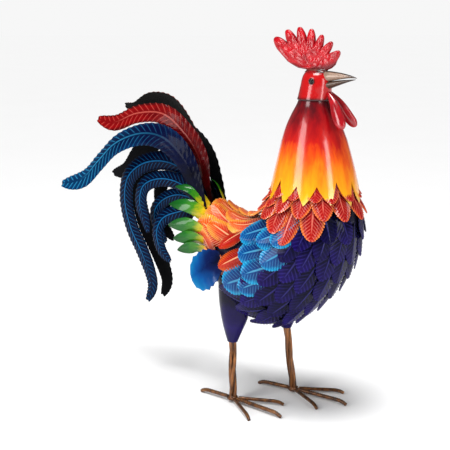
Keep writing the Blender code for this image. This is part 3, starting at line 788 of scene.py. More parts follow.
def makeNeck():
    edge = neckEdge()
    rows, wall = neck["rows"], bird["sheet"] / unit
    vertices = []
    for inward in (0.0, wall):
        for row in range(rows + 1):
            for share, low in edge:
                height = low + (neck["profile"][-1][0] - low) * (row / rows)
                radius, forward = neckRing(height)
                radius -= inward
                x, y = circlePoint(share, 1)
                vertices.append(spot(forward + radius * x, radius * y, height))
    count = len(edge)
    inside = (rows + 1) * count
    faces = sleeveFaces(rows + 1, count) + sleeveFaces(rows + 1, count, inside)
    for rim in (0, rows * count):
        faces += bandFaces(rim, inside + rim, count)
    return newMesh("neckCone", vertices, faces, sheetCrease)


def paintNeck(graph):
    height = graph.split(graph.place())[2]
    streak = graph.noise((62, 62, 5), 4.0, 0.6)
    fine = graph.noise((210, 210, 9), 2.0)
    cloud = graph.noise(22.0, 2.0)
    level = (height - 0.345) / 0.160 + (streak - 0.5) * 0.50 + (cloud - 0.5) * 0.12 + (fine - 0.5) * 0.06
    colour = graph.ramp(level, (
        (0.00, (0.90, 0.58, 0.14)), (0.13, (0.86, 0.38, 0.006)), (0.32, (0.84, 0.23, 0.005)),
        (0.48, (0.74, 0.085, 0.004)), (0.62, (0.46, 0.008, 0.005)), (0.80, (0.26, 0.002, 0.005)),
        (0.96, (0.07, 0.001, 0.004))))
    return {"Base Color": colour, "Roughness": 0.14 + streak * 0.14, "Bump": streak * 0.5 + fine * 0.2}


neckEnamel = enamel("neckEnamel", paintNeck, coat=0.55, coatRoughness=0.08, bumpDepth=0.0010)
addPiece("neckCone", makeNeck(), neckEnamel, "neck_orange", "neck")


# head, comb seat, eyes and beak

head = {
    # height, half length, half width, shift forward
    "rows": ((825.5, 37, 36, 0), (826, 42, 40, 0), (828, 43.6, 41.4, 0), (832, 43, 41, 1),
             (848, 41.4, 39, 3), (862, 40, 37.5, 5), (874, 38.8, 35, 6), (886, 35, 31, 6),
             (895, 28, 23, 5), (899.5, 18, 12, 4)),
    "sides": 40, "rings": 36,
}


def stations(rows, rings):
    # even steps along a table of rows
    return [smooth(rows, (len(rows) - 1) * ring / rings) for ring in range(rings + 1)]


def ovalRing(x, y, long, wide, height, sides):
    circle = [circlePoint(side, sides) for side in range(sides)]
    return [spot(x + long * forward, y + wide * leftward, height) for forward, leftward in circle]


def headRings(shape):
    return [ovalRing(neck["middle"] + forward, 0, long, wide, height, shape["sides"])
            for height, long, wide, forward in stations(shape["rows"], shape["rings"])]


def paintHead(graph):
    x, _, height = graph.split(graph.place())
    cloud = graph.noise(38.0, 3.0)
    behind = (x - (spot(neck["middle"], 0, 0).x - 0.013) + (cloud - 0.5) * 0.006).rise(-0.014, 0.008)
    colour = graph.mix(behind, (0.07, 0.001, 0.003), (0.44, 0.003, 0.004))
    # painted shade: the bottom of the head shell is darkened along its seam with the neck
    low = (height + (cloud - 0.5) * 0.004).rise(0.5045, 0.5105)
    colour = graph.mix(low, (0.03, 0.002, 0.003), colour)
    high = (height + (cloud - 0.5) * 0.006).rise(0.541, 0.549)
    colour = graph.mix(high, colour, (0.11, 0.003, 0.004))
    return {"Base Color": colour, "Roughness": 0.16 + cloud * 0.12, "Bump": graph.noise(260.0, 2.0) * 0.4}


headEnamel = enamel("headEnamel", paintHead, coat=0.6, coatRoughness=0.04)
addPiece("headShell", loftMesh("headShell", headRings(head)), headEnamel, "head_red", "head")

combSeat = {
    "rows": ((892, 27, 20, 5), (893.5, 30.5, 23, 5), (895.5, 31, 22, 5), (898, 30, 15, 6),
             (902, 31, 11, 8), (904, 28, 7, 9)),
    "sides": 32, "rings": 15,
}
seatPaint = cloudPaint((0.03, 0.004, 0.004), (0.16, 0.03, 0.02), 90.0, span=(0.45, 0.7),
                       rough=(0.22, 0.2), bump=(300.0, 3.0))
seatEnamel = enamel("seatEnamel", seatPaint, coat=0.8)
addPiece("combSeat", loftMesh("combSeat", headRings(combSeat)), seatEnamel, "comb_red")

comb = {
    "centre": (96, 884), "points": 7, "angles": (147, 28), "reach": (144, 106), "notch": 33,
    "endNotch": (0.85, 0.5), "sharp": 1.6, "tipRound": 0.22,
    "steps": 24, "rings": 24, "thick": 0.0086, "rim": 0.0026, "bump": 0.0016, "cell": 0.0058,
    # bead size in its cell, how soon the beads fade in from the rim
    "bead": 1.7, "fade": 7,
    "seat": ((170, 914), (160, 905.5), (149, 901), (137, 899.5), (115, 899.5), (93, 899.5), (78, 901),
             (63, 903), (47, 910), (31, 918)),
    "hub": 30,
}


def combOutline():
    centre = spot(comb["centre"][0], 0, comb["centre"][1])
    outline, total = [], comb["points"] * comb["steps"]
    for step in range(total + 1):
        share = step / total
        angle = math.radians(comb["angles"][0] + (comb["angles"][1] - comb["angles"][0]) * share)
        phase = 2 * ((share * comb["points"]) % 1.0) - 1
        reach = comb["reach"][0] + (comb["reach"][1] - comb["reach"][0]) * min(1.0, 1.5 * share)
        blunt = comb["tipRound"]
        phase = (math.sqrt(phase ** 2 + blunt ** 2) - blunt) / (math.sqrt(1 + blunt ** 2) - blunt)
        # the outer sides of the first and last point are cut back less
        cut = comb["notch"]
        if min(share, 1 - share) * comb["points"] < 0.5:
            cut *= comb["endNotch"][share > 0.5]
        radius = (reach - cut * phase ** comb["sharp"]) * unit
        outline.append(centre + Vector((math.cos(angle), 0, math.sin(angle))) * radius)
    outline += [spot(x, 0, z) for x, z in comb["seat"]]
    return outline, centre + Vector((0, 0, comb["hub"] * unit))


def makeComb():
    outline, hub = combOutline()
    count, rings = len(outline), comb["rings"]
    vertices, bumps = [], []
    for side in (1, -1):
        for ring in range(1, rings + 1):
            share = ring / rings
            half = comb["rim"] / 2 + (comb["thick"] - comb["rim"]) / 2 * math.sqrt(1 - share ** 5)
            for point in outline:
                at = hub.lerp(point, share)
                cells = noise.voronoi(Vector((at.x, side * 0.01, at.z)) / comb["cell"])[0]
                bump = (1 - min(cells[0] * comb["bead"], 1.0) ** 2) * min(1.0, (1 - share) * comb["fade"])
                vertices.append(Vector((at.x, shift.y + side * (half + comb["bump"] * bump), at.z)))
                bumps.append(bump)
    behind = rings * count
    faces = [tuple(range(count)), tuple(range(behind, behind + count))]
    faces += sleeveFaces(rings, count) + sleeveFaces(rings, count, behind)
    faces += bandFaces(behind - count, 2 * behind - count, count)
    return newMesh("combFan", vertices, faces, 70, bump=bumps)


def paintComb(graph):
    x, _, height = graph.split(graph.place())
    cloud = graph.noise(60.0, 3.0)
    colour = graph.mix(cloud.rise(0.3, 0.7), (0.30, 0.002, 0.007), (0.50, 0.005, 0.012))
    # painted highlight: the tops of the beads are lightened as if each catches a glint
    colour = graph.mix(graph.attribute("bump").rise(0.55, 0.95) * 0.4, colour, (0.66, 0.05, 0.06))
    middle = spot(comb["centre"][0], 0, 0).x
    low = (height - (x - middle).size() * 0.25 + (cloud - 0.5) * 0.01).rise(0.546, 0.556)
    colour = graph.mix(low, (0.13, 0.002, 0.006), colour)
    return {"Base Color": colour, "Roughness": 0.14 + cloud * 0.12, "Bump": graph.noise(420.0, 2.0) * 0.5}


combEnamel = enamel("combEnamel", paintComb, coat=0.35, coatRoughness=0.05)
addPiece("combFan", makeComb(), combEnamel, "comb_red", "comb")

eye = {"place": (124, 36.5, 874), "bead": 0.0038, "squash": 0.85, "ring": (0.0044, 0.0007), "sink": 0.0004}
bothWays = (("left", 1), ("right", -1))


def ballRings(centre, radius, squash=1.0, seats=24, rows=14):
    rings = []
    for row in range(rows + 1):
        angle = math.pi * (row + 0.02 if row == 0 else row - 0.02 if row == rows else row) / rows
        wide, out = radius * math.sin(angle), squash * radius * math.cos(angle)
        circle = [circlePoint(side, seats) for side in range(seats)]
        rings.append([centre + Vector((wide * forward, out, wide * upward)) for forward, upward in circle])
    return rings


def hoopMesh(name, centre, radius, thick, across=28, sides=10):
    vertices, faces = [], []
    for step in range(across):
        forward, upward = circlePoint(step, across)
        ray = Vector((forward, 0, upward))
        for part in range(sides):
            outward, aside = circlePoint(part, sides)
            vertices.append(centre + ray * (radius + thick * outward) + Vector((0, thick * aside, 0)))
    for step in range(across):
        for part in range(sides):
            here, there = step * sides, (step + 1) % across * sides
            after = (part + 1) % sides
            faces.append((here + part, there + part, there + after, here + after))
    return newMesh(name, vertices, faces, sheetCrease)


eyePaint = cloudPaint((0.004, 0.004, 0.004), (0.010, 0.008, 0.008), 600.0, 2.0, rough=(0.03, 0.03))
eyeGloss = enamel("eyeGloss", eyePaint, coat=0.35, coatRoughness=0.02, shine=0.1)
for sideName, side in bothWays:
    x, y, z = eye["place"]
    centre = spot(x, side * y, z)
    bead = loftMesh(sideName + "EyeBead", ballRings(centre, eye["bead"], eye["squash"]), 180)
    addPiece(sideName + "EyeBead", bead, eyeGloss, "eye_black", sideName + "_eye")
    hoop = hoopMesh(sideName + "EyeRing", centre - Vector((0, side * eye["sink"], 0)), *eye["ring"])
    addPiece(sideName + "EyeRing", hoop, seatEnamel, "eye_black")

beak = {
    # x, height, half width, depth
    "upper": ((144, 884, 15, 29), (156, 885, 15, 27), (170, 886, 13, 22.5), (188, 887, 10, 16.5),
              (206, 887, 6.6, 10), (220, 886, 3.9, 5.2), (231, 884, 1, 1.4)),
    "lower": ((144, 864, 15, 20.5), (156, 865.3, 14.5, 20), (170, 868.5, 12, 17),
              (188, 872.8, 8.8, 12), (206, 876.6, 5.6, 6.8), (219, 879.2, 3, 3.6),
              (228, 880.5, 0.8, 1.1)),
    "sides": 24, "rings": 26,
}


def beakRings(rows, top):
    found = []
    for x, height, wide, deep in stations(rows, beak["rings"]):
        loop = []
        for side in range(beak["sides"]):
            y, z = circlePoint(side, beak["sides"])
            # flatter where the two halves meet, ridged on the far side
            meeting = z < 0 if top else z > 0
            z *= 0.85 if meeting else 1.0
            y = math.copysign(abs(y) ** (0.7 if meeting else 1.25), y)
            loop.append(spot(x, wide * y, height + deep / 2 * z))
        found.append(loop)
    return found


def paintBeak(light, dark, low, high):
    def paint(graph):
        y = graph.split(graph.place())[1]
        grain = graph.noise((30, 160, 160), 3.0)
        cloud = graph.noise(70.0, 3.0)
        ridge = (y.size() + (cloud - 0.5) * 0.003).rise(low, high)
        colour = graph.mix(ridge, dark, light)
        colour = graph.mix((grain - 0.5).rise(0.0, 0.4) * 0.5, colour, dark)
        return {"Base Color": colour, "Roughness": 0.26 + grain * 0.22, "Bump": grain}
    return paint


beakPaints = {
    "upper": paintBeak((0.27, 0.18, 0.13), (0.03, 0.015, 0.008), 0.0022, 0.0050),
    "lower": paintBeak((0.07, 0.038, 0.022), (0.02, 0.010, 0.006), 0.001, 0.007),
}
for half, paint in beakPaints.items():
    horn = enamel(half + "Horn", paint, metallic=0.25)
    mesh = loftMesh(half + "Beak", beakRings(beak[half], half == "upper"))
    addPiece(half + "Beak", mesh, horn, "beak_grey", half + "_beak")

wattle = {
    # x, y, height, half width down the left one
    "rows": ((154, 6, 848, 4), (162, 8, 840, 8), (171, 12, 830, 11), (180, 16, 817, 13.5),
             (187, 20, 804, 15.5), (194, 23.5, 791, 17), (200, 26.5, 780, 17.2),
             (204.5, 28.5, 770, 14.5), (207.5, 29.5, 763, 8.5), (208.5, 29.5, 760.5, 1.5)),
    "flat": 0.62, "sides": 20, "rings": 30,
}


def wattleRings(side):
    return [ovalRing(x, side * y, half, wattle["flat"] * half, height, wattle["sides"])
            for x, y, height, half in stations(wattle["rows"], wattle["rings"])]


wattlePaint = cloudPaint((0.24, 0.002, 0.006), (0.40, 0.003, 0.009), 45.0, span=(0.35, 0.65),
                         rough=(0.12, 0.12), bump=(160.0, 2.0))
wattleEnamel = enamel("wattleEnamel", wattlePaint, coat=1.0, coatRoughness=0.05, bumpDepth=0.0008)
for sideName, side in bothWays:
    mesh = loftMesh(sideName + "Wattle", wattleRings(side))
    addPiece(sideName + "Wattle", mesh, wattleEnamel, "comb_red", sideName + "_wattle")
print("neck and head done")


# tail: each sickle is a ribbed plate that a node tree bends along its own curve

sickleTree, graph, socket = newTree("sickleBend", {"Path": "Object", "Length": "Float", "Wave": "Float",
                                                    "Paint": "Material"})
pathCurve = graph.node("GeometryNodeMeshToCurve", inputs=[graph.objectMesh(socket["Path"])])
share = (graph.stored("reach") / socket["Length"]).most(0.0).least(1.0)


facing = graph.node("GeometryNodeSampleCurve", {"mode": "FACTOR", "data_type": "FLOAT_VECTOR"}, {
    "Curves": pathCurve, "Value": graph.stored("facing", "FLOAT_VECTOR"), "Factor": share})
across = graph.vector("NORMALIZE", graph.vector("CROSS_PRODUCT", facing.other("Tangent"), facing))
sideways = graph.split(graph.node("GeometryNodeInputPosition"))[0]
# soft folds, one every 24 mm, that are full at 50 mm from the midrib
wave = (graph.stored("reach") * 260).wave() * socket["Wave"] * sideways.size() * 20
target = graph.vector("ADD", facing.other("Position"), graph.scaled(across, sideways))
target = graph.vector("ADD", target, graph.scaled(facing, graph.stored("rise") + wave))
bent = graph.node("GeometryNodeSetPosition", inputs={"Geometry": socket["Geometry"], "Position": target})
finishTree(graph, bent, socket["Paint"])


def pathLength(path):
    return sum((after - before).length for before, after in zip(path, path[1:]))


def lineMesh(name, path, **attributes):
    return plainMesh(name, path, [(index, index + 1) for index in range(len(path) - 1)], **attributes)


def bentPlate(name, shape, path, facings, paint, wave=0.0):
    # the plate takes its length from the path
    length = pathLength(path)
    pathObject = helperObject(name + "Path", lineMesh(name + "Path", path, facing=facings))
    ribs = max(3, round(length / shape["ribPitch"]))
    plate = makePlate(name + "Plate", {**shape, "length": length, "ribs": ribs})
    values = {"Path": pathObject, "Length": length, "Wave": wave, "Paint": paint}
    mesh = runTree(name, sickleTree, plate, values)
    bpy.data.objects.remove(pathObject)
    mesh.attributes.new("tint", "FLOAT", "POINT").data.foreach_set("value", [0.0] * len(mesh.vertices))
    mesh.set_sharp_from_angle(angle=math.radians(sheetCrease))
    return mesh


rear = {"top": (-198, 539), "bottom": (-164, 336), "gap": 0.0003, "run": 12}
rearTop = spot(rear["top"][0], 0, rear["top"][1])
rearDown = spot(rear["bottom"][0], 0, rear["bottom"][1]) - rearTop
rearOut = Vector((rearDown.z, 0, -rearDown.x)).normalized()
rearOut *= -1 if rearOut.x > 0 else 1

tail = {
    # root: share down the rear face and distance from the middle, path: x, y, height of the right
    # one with y turned outwards, left: how much further up and back the left one goes
    "red": {"root": (0.07, 9), "width": 56, "ribPitch": 0.0110, "bank": 25, "left": (30, 22), "path": (
        (-228, 12, 570), (-243, 17, 650), (-290, 27, 718), (-354, 38, 764), (-440, 48, 760),
        (-520, 55, 730), (-585, 58, 738))},
    "blue": {"root": (0.17, 45), "width": 68, "ribPitch": 0.0110, "bank": 30, "path": (
        (-232, 50, 580), (-268, 58, 654), (-330, 64, 702), (-404, 72, 709), (-488, 84, 677),
        (-548, 94, 622), (-604, 104, 567), (-689, 110, 543))},
    "outer": {"root": (0.19, 21), "width": 54, "ribPitch": 0.0084, "bank": 5, "path": (
        (-236, 22, 560), (-290, 24, 609), (-340, 26, 628), (-396, 28, 628), (-450, 30, 610),
        (-496, 31, 568), (-506, 32, 500), (-484, 33, 425), (-444, 34, 360), (-412, 34, 295),
        (-406, 34, 256), (-428, 34, 210))},
    "second": {"root": (0.27, 33), "width": 46, "ribPitch": 0.0080, "bank": 5, "path": (
        (-240, 36, 545), (-300, 38, 578), (-368, 41, 582), (-424, 44, 556), (-436, 46, 503),
        (-416, 47, 455), (-404, 48, 421))},
    "third": {"root": (0.33, 9), "width": 42, "ribPitch": 0.0076, "bank": 5, "path": (
        (-250, 11, 520), (-312, 12, 538), (-372, 13, 520), (-408, 14, 482), (-402, 15, 440),
        (-380, 16, 412), (-362, 17, 394))},
    "inner": {"root": (0.41, 21), "width": 42, "ribPitch": 0.0076, "bank": 8, "path": (
        (-244, 32, 505), (-292, 46, 498), (-340, 58, 476), (-357, 66, 434), (-338, 70, 386),
        (-300, 72, 359))},
}
sicklePlate = {**pressed, "widest": 0.40, "hold": 0.76, "root": 0.30, "blunt": 0.5, "sweep": 0.95,
               "relief": 0.0014, "midrib": 0.0011, "tooth": 0.03}
# a sickle has its full bank this far from its root
bankRun = 300


def sidePath(points, side, steps):
    # the points are given on the left, side is -1 for their mirror image
    return [Vector((point.x, shift.y + side * (point.y - shift.y), point.z))
            for point in evenPath(points, steps)]


def tangents(path):
    last = len(path) - 1
    return [(path[min(index + 1, last)] - path[max(index - 1, 0)]).normalized()
            for index in range(last + 1)]


def squared(up, tangent):
    return (up - tangent * up.dot(tangent)).normalized()


def sicklePath(feather, side, steps=44):
    down, column = feather["root"]
    root = rearTop + rearDown * down + rearOut * rear["gap"] + Vector((0, column * unit, 0))
    points = [root, root + rearOut * rear["run"] * unit] + [spot(*point) for point in feather["path"]]
    if side > 0 and "left" in feather:
        upward, backward = feather["left"]
        for index, point in enumerate(points):
            point.z += upward * unit * min(1, max(0, index / 3 - 1))
            point.x -= backward * unit * math.sin(math.pi * index / (len(points) - 1))
    path = sidePath(points, side, steps)
    facings = []
    for point, tangent in zip(path, tangents(path)):
        lean = math.radians(feather["bank"]) * min(1.0, (point - path[0]).length / (bankRun * unit))
        lift = Vector((0, side * math.cos(lean), 0)) + Vector((0, 1, 0)).cross(tangent) * math.sin(lean)
        facings.append(squared(lift, tangent))
    return path, facings


paints["sickle"] = {
    "root": (0.001, 0.001, 0.004), "middle": (0.001, 0.002, 0.014), "tip": (0.001, 0.007, 0.035),
    "edge": (0.001, 0.003, 0.014), "rib": (0.006, 0.15, 0.38), "groove": (0.001, 0.002, 0.014),
    "other": ((0.003, 0.005, 0.02), (0.004, 0.02, 0.09)), "under": (0.002, 0.002, 0.003)}
paints["bigSickle"] = {**paints["sickle"], "tip": (0.002, 0.05, 0.14), "rib": (0.03, 0.29, 0.52),
                       "middle": (0.001, 0.003, 0.026), "edge": (0.001, 0.02, 0.08)}
paints["redSickle"] = {
    "root": (0.016, 0.002, 0.002), "middle": (0.07, 0.001, 0.002), "tip": (0.27, 0.002, 0.003),
    "edge": (0.06, 0.001, 0.002), "rib": (0.60, 0.12, 0.09), "groove": (0.06, 0.001, 0.002),
    "other": ((0.05, 0.003, 0.004), (0.3, 0.004, 0.005)), "under": (0.003, 0.002, 0.002)}
smallSickleEnamel = featherEnamel("sickle", 0.03, tip=(0.3, 0.9), ribGlow=0.8, ribRun=(0.05, 0.5),
                                  ribFade=0.9, ribStart=0.7, coat=0.07)
sickleEnamels = {
    "red": featherEnamel("redSickle", 0.04, tip=(0.3, 0.8), ribGlow=0.4, ribRun=(0.1, 0.7), ribStart=0.75,
                         coat=0.14),
    "blue": featherEnamel("bigSickle", 0.03, tip=(0.42, 0.98), ribGlow=0.8, ribRun=(0.25, 0.9), ribFade=0.3,
                          ribStart=0.7, coat=0.07),
}

for sideName, side in bothWays:
    for plume, feather in tail.items():
        width = feather["width"] * unit
        shape = {**sicklePlate, "width": width, "dish": 0.09 * width, "ribPitch": feather["ribPitch"]}
        name = sideName + plume.capitalize() + "Sickle"
        paint = sickleEnamels.get(plume, smallSickleEnamel)
        mesh = bentPlate(name, shape, *sicklePath(feather, side), paint)
        slotName = "tail_red" if plume == "red" else "tail_blue"
        addPiece(name, mesh, paint, slotName, sideName + "_tail_" + plume)
print("tail done")


# rump: smooth green swords that come out from under the last orange feathers

rump = {
    "along": 0.995, "lift": -0.0009, "bend": (0.45, 0.60, 0.75), "hop": 8,
    # degrees from the back line, length, spread, rise, width
    "swords": ((33, 92, 32, 52, 30), (53, 108, 28, 28, 38), (80, 104, 34, 18, 42), (94, 94, 30, 6, 40),
               (105, 82, 34, -4, 36)),
    "plate": {"widest": 0.42, "hold": 0.46, "root": 0.72, "blunt": 0.8, "sweep": 0.55, "columns": 4,
              "ribPitch": 0.0075, "relief": 0.0, "midrib": 0.0004, "thick": 0.0009, "tooth": 0.0},
}


def paintSword(graph):
    _, down, _, under = graph.vane()
    streak = graph.noise((50, 160, 160), 3.0)
    colour = graph.ramp(down + (streak - 0.5) * 0.35, (
        (0.02, (0.80, 0.42, 0.01)), (0.18, (0.50, 0.42, 0.008)), (0.36, (0.04, 0.20, 0.006)),
        (0.62, (0.004, 0.115, 0.006)), (0.95, (0.002, 0.055, 0.006))))
    colour = graph.mix(under, colour, (0.006, 0.010, 0.006))
    return {"Base Color": colour, "Roughness": 0.16 + streak * 0.16, "Bump": streak * 0.5}


swordEnamel = enamel("swordEnamel", paintSword, coat=0.45, shine=0.15)


def rootedPath(start, along, around, side, bends, steps=24):
    # a path that leaves the body at a place on it, with the body's own outward direction there
    root = bodyPlace(along, around) + bodyUp(along, around) * start
    points = [root] + [root + Vector(bend) * unit for bend in bends]
    path = sidePath(points, side, steps)
    up = bodyUp(along, around)
    up.y *= side
    return path, [squared(up, tangent) for tangent in tangents(path)]


for sideName, side in bothWays:
    for number, (around, length, spread, rise, width) in enumerate(rump["swords"], 1):
        back, out, up = rump["bend"]
        bends = ((-length * back, spread * out, rise * up + rump["hop"]), (-length, spread, rise))
        path, facings = rootedPath(rump["lift"], rump["along"], around, side, bends)
        shape = {**rump["plate"], "width": width * unit, "dish": 0.12 * width * unit}
        name = sideName + "Sword%d" % number
        mesh = bentPlate(name, shape, path, facings, swordEnamel)
        addPiece(name, mesh, swordEnamel, "rump_green", sideName + "_rump_%d" % number)


# wing tips: one broad plate a side with a scalloped rear edge

wingTip = {
    "along": 0.735, "around": 71, "lift": -0.0009, "bends": ((-44, 8, -28), (-92, 14, -62)),
    "bulge": 0.0018,
    "plate": {"width": 0.066, "widest": 0.55, "hold": 0.64, "root": 0.40, "blunt": 0.45, "sweep": 0.10,
              "columns": 5, "ribPitch": 0.0115, "relief": 0.0012, "midrib": 0.0003, "dish": 0.0044,
              "thick": 0.0011, "tooth": 0.09},
}


def paintWingTip(graph):
    across, down, _, under = graph.vane()
    cloud = graph.noise(30.0, 3.0)
    level = down * 0.75 + across.most(0.0) * 0.30 + (cloud - 0.5) * 0.35
    colour = graph.ramp(level, ((0.14, (0.001, 0.002, 0.014)), (0.40, (0.002, 0.008, 0.06)),
                                (0.66, (0.002, 0.055, 0.22)), (0.95, (0.003, 0.15, 0.35))))
    colour = graph.mix(under, colour, (0.004, 0.005, 0.012))
    return {"Base Color": colour, "Roughness": 0.2 + cloud * 0.14,
            "Bump": graph.noise(90.0, 3.0) * 1.6}


wingTipEnamel = enamel("wingTipEnamel", paintWingTip, coat=0.25, shine=0.08)
for sideName, side in bothWays:
    path, facings = rootedPath(wingTip["lift"], wingTip["along"], wingTip["around"], side,
                               wingTip["bends"])
    name = sideName + "WingTip"
    mesh = bentPlate(name, wingTip["plate"], path, facings, wingTipEnamel, wingTip["bulge"])
    addPiece(name, mesh, wingTipEnamel, "wing_blue", sideName + "_wing_tip")
print("rump and wing tips done")


# thighs, cones of sheet that go up into the breast feathers, and the bar-steel feet

thigh = {
    # height above the leg's top, width, shift forward
    "rows": ((0, 27, 0), (1, 30, 0), (6, 33, 0.5), (35, 54, 3), (70, 76, 7), (115, 90, 8),
             (160, 92, 7), (185, 90, 6)),
    "flat": 0.86, "sides": 36, "rings": 24,
}
foot = {
    "bar": 0.0060, "legBar": 0.0068, "clearance": 0.0042, "twist": 200, "bars": 3, "nestle": 0.98,
    "sunk": 12, "weld": (0.0088, 0.62), "lump": (0.22, 2.3),
    # a toe is level from its start to this share, then goes down to the ground, in clearances:
    # back from the toe's end, drop
    "level": (0.010, 0.45), "claw": ((5.0, 0.02), (3.2, 0.10), (1.7, 0.42), (0.7, 0.88), (0.2, 1.12)),
    # ring spacing on a ribbed toe, a plain toe and a leg bar, and the length of a toe's taper
    "spacing": (0.0011, 0.0025, 0.003), "taper": 0.022, "thinner": 0.15, "sides": 14,
    "right": {"hub": (-85, -75), "heading": -6, "top": (-87, -74), "topHeight": 172},
    "left": {"hub": (8, 82), "heading": 0, "top": (-16, 80), "topHeight": 186},
    # length, angle, ribbed
    "toes": {"middle": (172, 0, True), "inner": (142, 30, False), "outer": (142, -30, False),
             "hind": (113, 184, True)},
    "ribPitch": 0.0042, "ribHeight": 0.20,
}


def paintThigh(graph):
    height = graph.split(graph.place())[2]
    cloud = graph.noise(40.0, 3.0)
    # the lighter band low on the thigh is a painted highlight, and the darker top, where the thigh goes up
    # under the breast feathers, is painted shade
    level = (height - 0.105) / 0.09 + (cloud - 0.5) * 0.5
    colour = graph.ramp(level, ((0.0, (0.006, 0.003, 0.05)), (0.35, (0.010, 0.004, 0.08)),
                                (0.8, (0.002, 0.001, 0.014))))
    return {"Base Color": colour, "Roughness": 0.16 + cloud * 0.16, "Bump": graph.noise(150.0, 2.0)}


thighEnamel = enamel("thighEnamel", paintThigh, coat=0.25, shine=0.05)


def paintLeg(graph):
    height = graph.split(graph.place())[2]
    streak = graph.noise((220, 220, 26), 4.0, 0.6)
    cloud = graph.noise(55.0, 3.0)
    colour = graph.mix(streak.rise(0.35, 0.7), (0.05, 0.018, 0.006), (0.32, 0.115, 0.028))
    colour = graph.mix(cloud.rise(0.52, 0.72) * 0.7, colour, (0.46, 0.20, 0.065))
    colour = graph.mix((1 - height.rise(0.004, 0.024)) * 0.4, colour, (0.06, 0.03, 0.018))
    return {"Base Color": colour, "Roughness": 0.28 + streak * 0.25, "Metallic": 0.55 + cloud * 0.3,
            "Bump": streak}


legCopper = enamel("legCopper", paintLeg, coat=0.4, coatRoughness=0.15)

barInputs = dict.fromkeys(("Radius", "Tip", "Pitch", "Ridge", "Length", "Step"), "Float")
barTree, graph, socket = newTree("barAlongPath", {**barInputs, "Paint": "Material"})
curve = graph.node("GeometryNodeMeshToCurve", inputs=[socket["Geometry"]])
curve = graph.node("GeometryNodeResampleCurve", {"mode": "LENGTH"},
                   {"Curve": curve, "Length": socket["Step"]})
travelled = graph.node("GeometryNodeSplineParameter", out="Length")
ridge = (travelled * (2 * math.pi) / socket["Pitch"]).wave().most(0.0) * socket["Ridge"]
near = (socket["Length"] - travelled) / socket["Tip"]
taper = 1 - (1 - near.least(1.0)).most(0.0) ** 3 * foot["thinner"]
radius = socket["Radius"] * taper * (1 + ridge)
curve = graph.node("GeometryNodeSetCurveNormal", {"mode": "MINIMUM_TWIST"}, [curve])
circle = graph.node("GeometryNodeCurvePrimitiveCircle", inputs={"Resolution": foot["sides"], "Radius": 1.0})
tube = graph.node("GeometryNodeCurveToMesh", inputs={
    "Curve": curve, "Profile Curve": circle, "Scale": radius, "Fill Caps": True})
tube = graph.node("GeometryNodeSetShadeSmooth", inputs={"Geometry": tube})
finishTree(graph, tube, socket["Paint"])


def barMesh(name, lines, radius, step, ridge=0.0, tip=0.001):
    # lines: the bars' middle lines, each becomes its own closed tube
    values = {"Radius": radius, "Tip": tip, "Pitch": foot["ribPitch"], "Ridge": ridge, "Step": step,
              "Paint": legCopper}
    meshes = []
    for line in lines:
        values["Length"] = pathLength(line)
        meshes.append(runTree(name, barTree, lineMesh(name + "Line", line), values))
    return finishMesh(meshes[0], meshes, sheetCrease)


def footHub(which):
    x, y = foot[which]["hub"]
    return spot(x, y, 0) + Vector((0, 0, foot["clearance"] + foot["bar"] / 2))


def legLines(which, steps=36):
    low = footHub(which) - Vector((0, 0, foot["bar"] / 2))
    x, y = foot[which]["top"]
    high = spot(x, y, foot[which]["topHeight"] + foot["sunk"])
    reach = foot["bar"] / 2 / math.sin(math.pi / foot["bars"])
    lines = []
    for bar in range(foot["bars"]):
        line = []
        for step in range(steps + 1):
            share = step / steps
            angle = 2 * math.pi * bar / foot["bars"] + math.radians(foot["twist"]) * share
            ray = Vector((math.cos(angle), math.sin(angle), 0))
            line.append(low.lerp(high, share) + ray * reach * foot["nestle"])
        lines.append(line)
    return lines


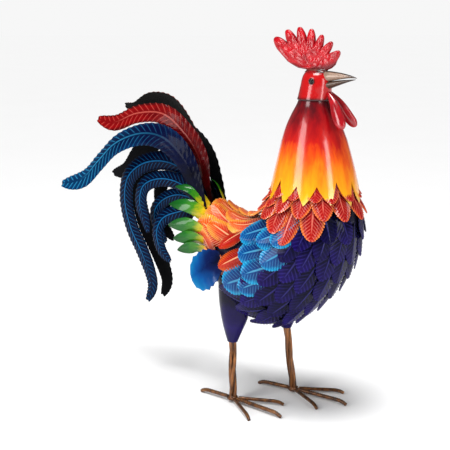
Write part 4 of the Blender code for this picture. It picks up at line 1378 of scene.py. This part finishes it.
def toeLine(which, toe, steps=40):
    length, angle, _ = foot["toes"][toe]
    side = 1 if which == "left" else -1
    angle = -side * angle if toe in ("inner", "outer") else angle
    heading = math.radians(foot[which]["heading"] + angle)
    forward = Vector((math.cos(heading), math.sin(heading), 0))
    hub, length, fall = footHub(which), length * unit, foot["clearance"]
    begin, straight = foot["level"]
    rows = [(begin, 0), (straight * length, 0)]
    rows += [(length - back * fall, drop) for back, drop in foot["claw"]]
    return evenPath([hub + forward * distance - Vector((0, 0, fall * drop)) for distance, drop in rows],
                    steps)


def makeWeld(which):
    hub, (wide, flat), (deep, fine) = footHub(which), foot["weld"], foot["lump"]
    work = bmesh.new()
    bmesh.ops.create_icosphere(work, subdivisions=4, radius=1.0)
    for vertex in work.verts:
        lump = 1 + deep * noise.noise(vertex.co * fine + Vector((3, 1, len(which))))
        x, y, z = vertex.co
        vertex.co = hub + Vector((x * wide, y * wide, z * wide * flat)) * lump
    mesh = bpy.data.meshes.new(which + "Weld")
    work.to_mesh(mesh)
    work.free()
    mesh.shade_smooth()
    return mesh


for which in ("right", "left"):
    x, y = foot[which]["top"]
    rows = [(foot[which]["topHeight"] + up, wide / 2, wide / 2 * thigh["flat"], x + forward)
            for up, wide, forward in thigh["rows"]]
    rings = [ovalRing(middle, y, long, wide, height, thigh["sides"])
             for height, long, wide, middle in stations(rows, thigh["rings"])]
    mesh = loftMesh(which + "Thigh", rings)
    addPiece(which + "Thigh", mesh, thighEnamel, "breast_navy", which + "_thigh")
    ribbedStep, plainStep, legStep = foot["spacing"]
    mesh = barMesh(which + "Leg", legLines(which), foot["legBar"] / 2, legStep)
    addPiece(which + "Leg", mesh, legCopper, "leg_copper", which + "_leg")
    for toe, (_, _, ribbed) in foot["toes"].items():
        name = which + toe.capitalize() + "Toe"
        step, ridge = (ribbedStep, foot["ribHeight"]) if ribbed else (plainStep, 0.0)
        mesh = barMesh(name, [toeLine(which, toe)], foot["bar"] / 2, step, ridge, foot["taper"])
        addPiece(name, mesh, legCopper, "leg_copper", which + "_" + toe + "_toe")
    addPiece(which + "Weld", makeWeld(which), legCopper, "leg_copper")


# the body itself shows only in the gaps between plates

bodyPaint = cloudPaint((0.003, 0.003, 0.012), (0.008, 0.006, 0.03), 60.0, rough=(0.4, 0.2))
nodes["body"].data.materials.clear()
nodes["body"].data.materials.append(enamel("bodyPrimer", bodyPaint, coat=0.1))
print("legs and body done")

bpy.data.objects.remove(skin)
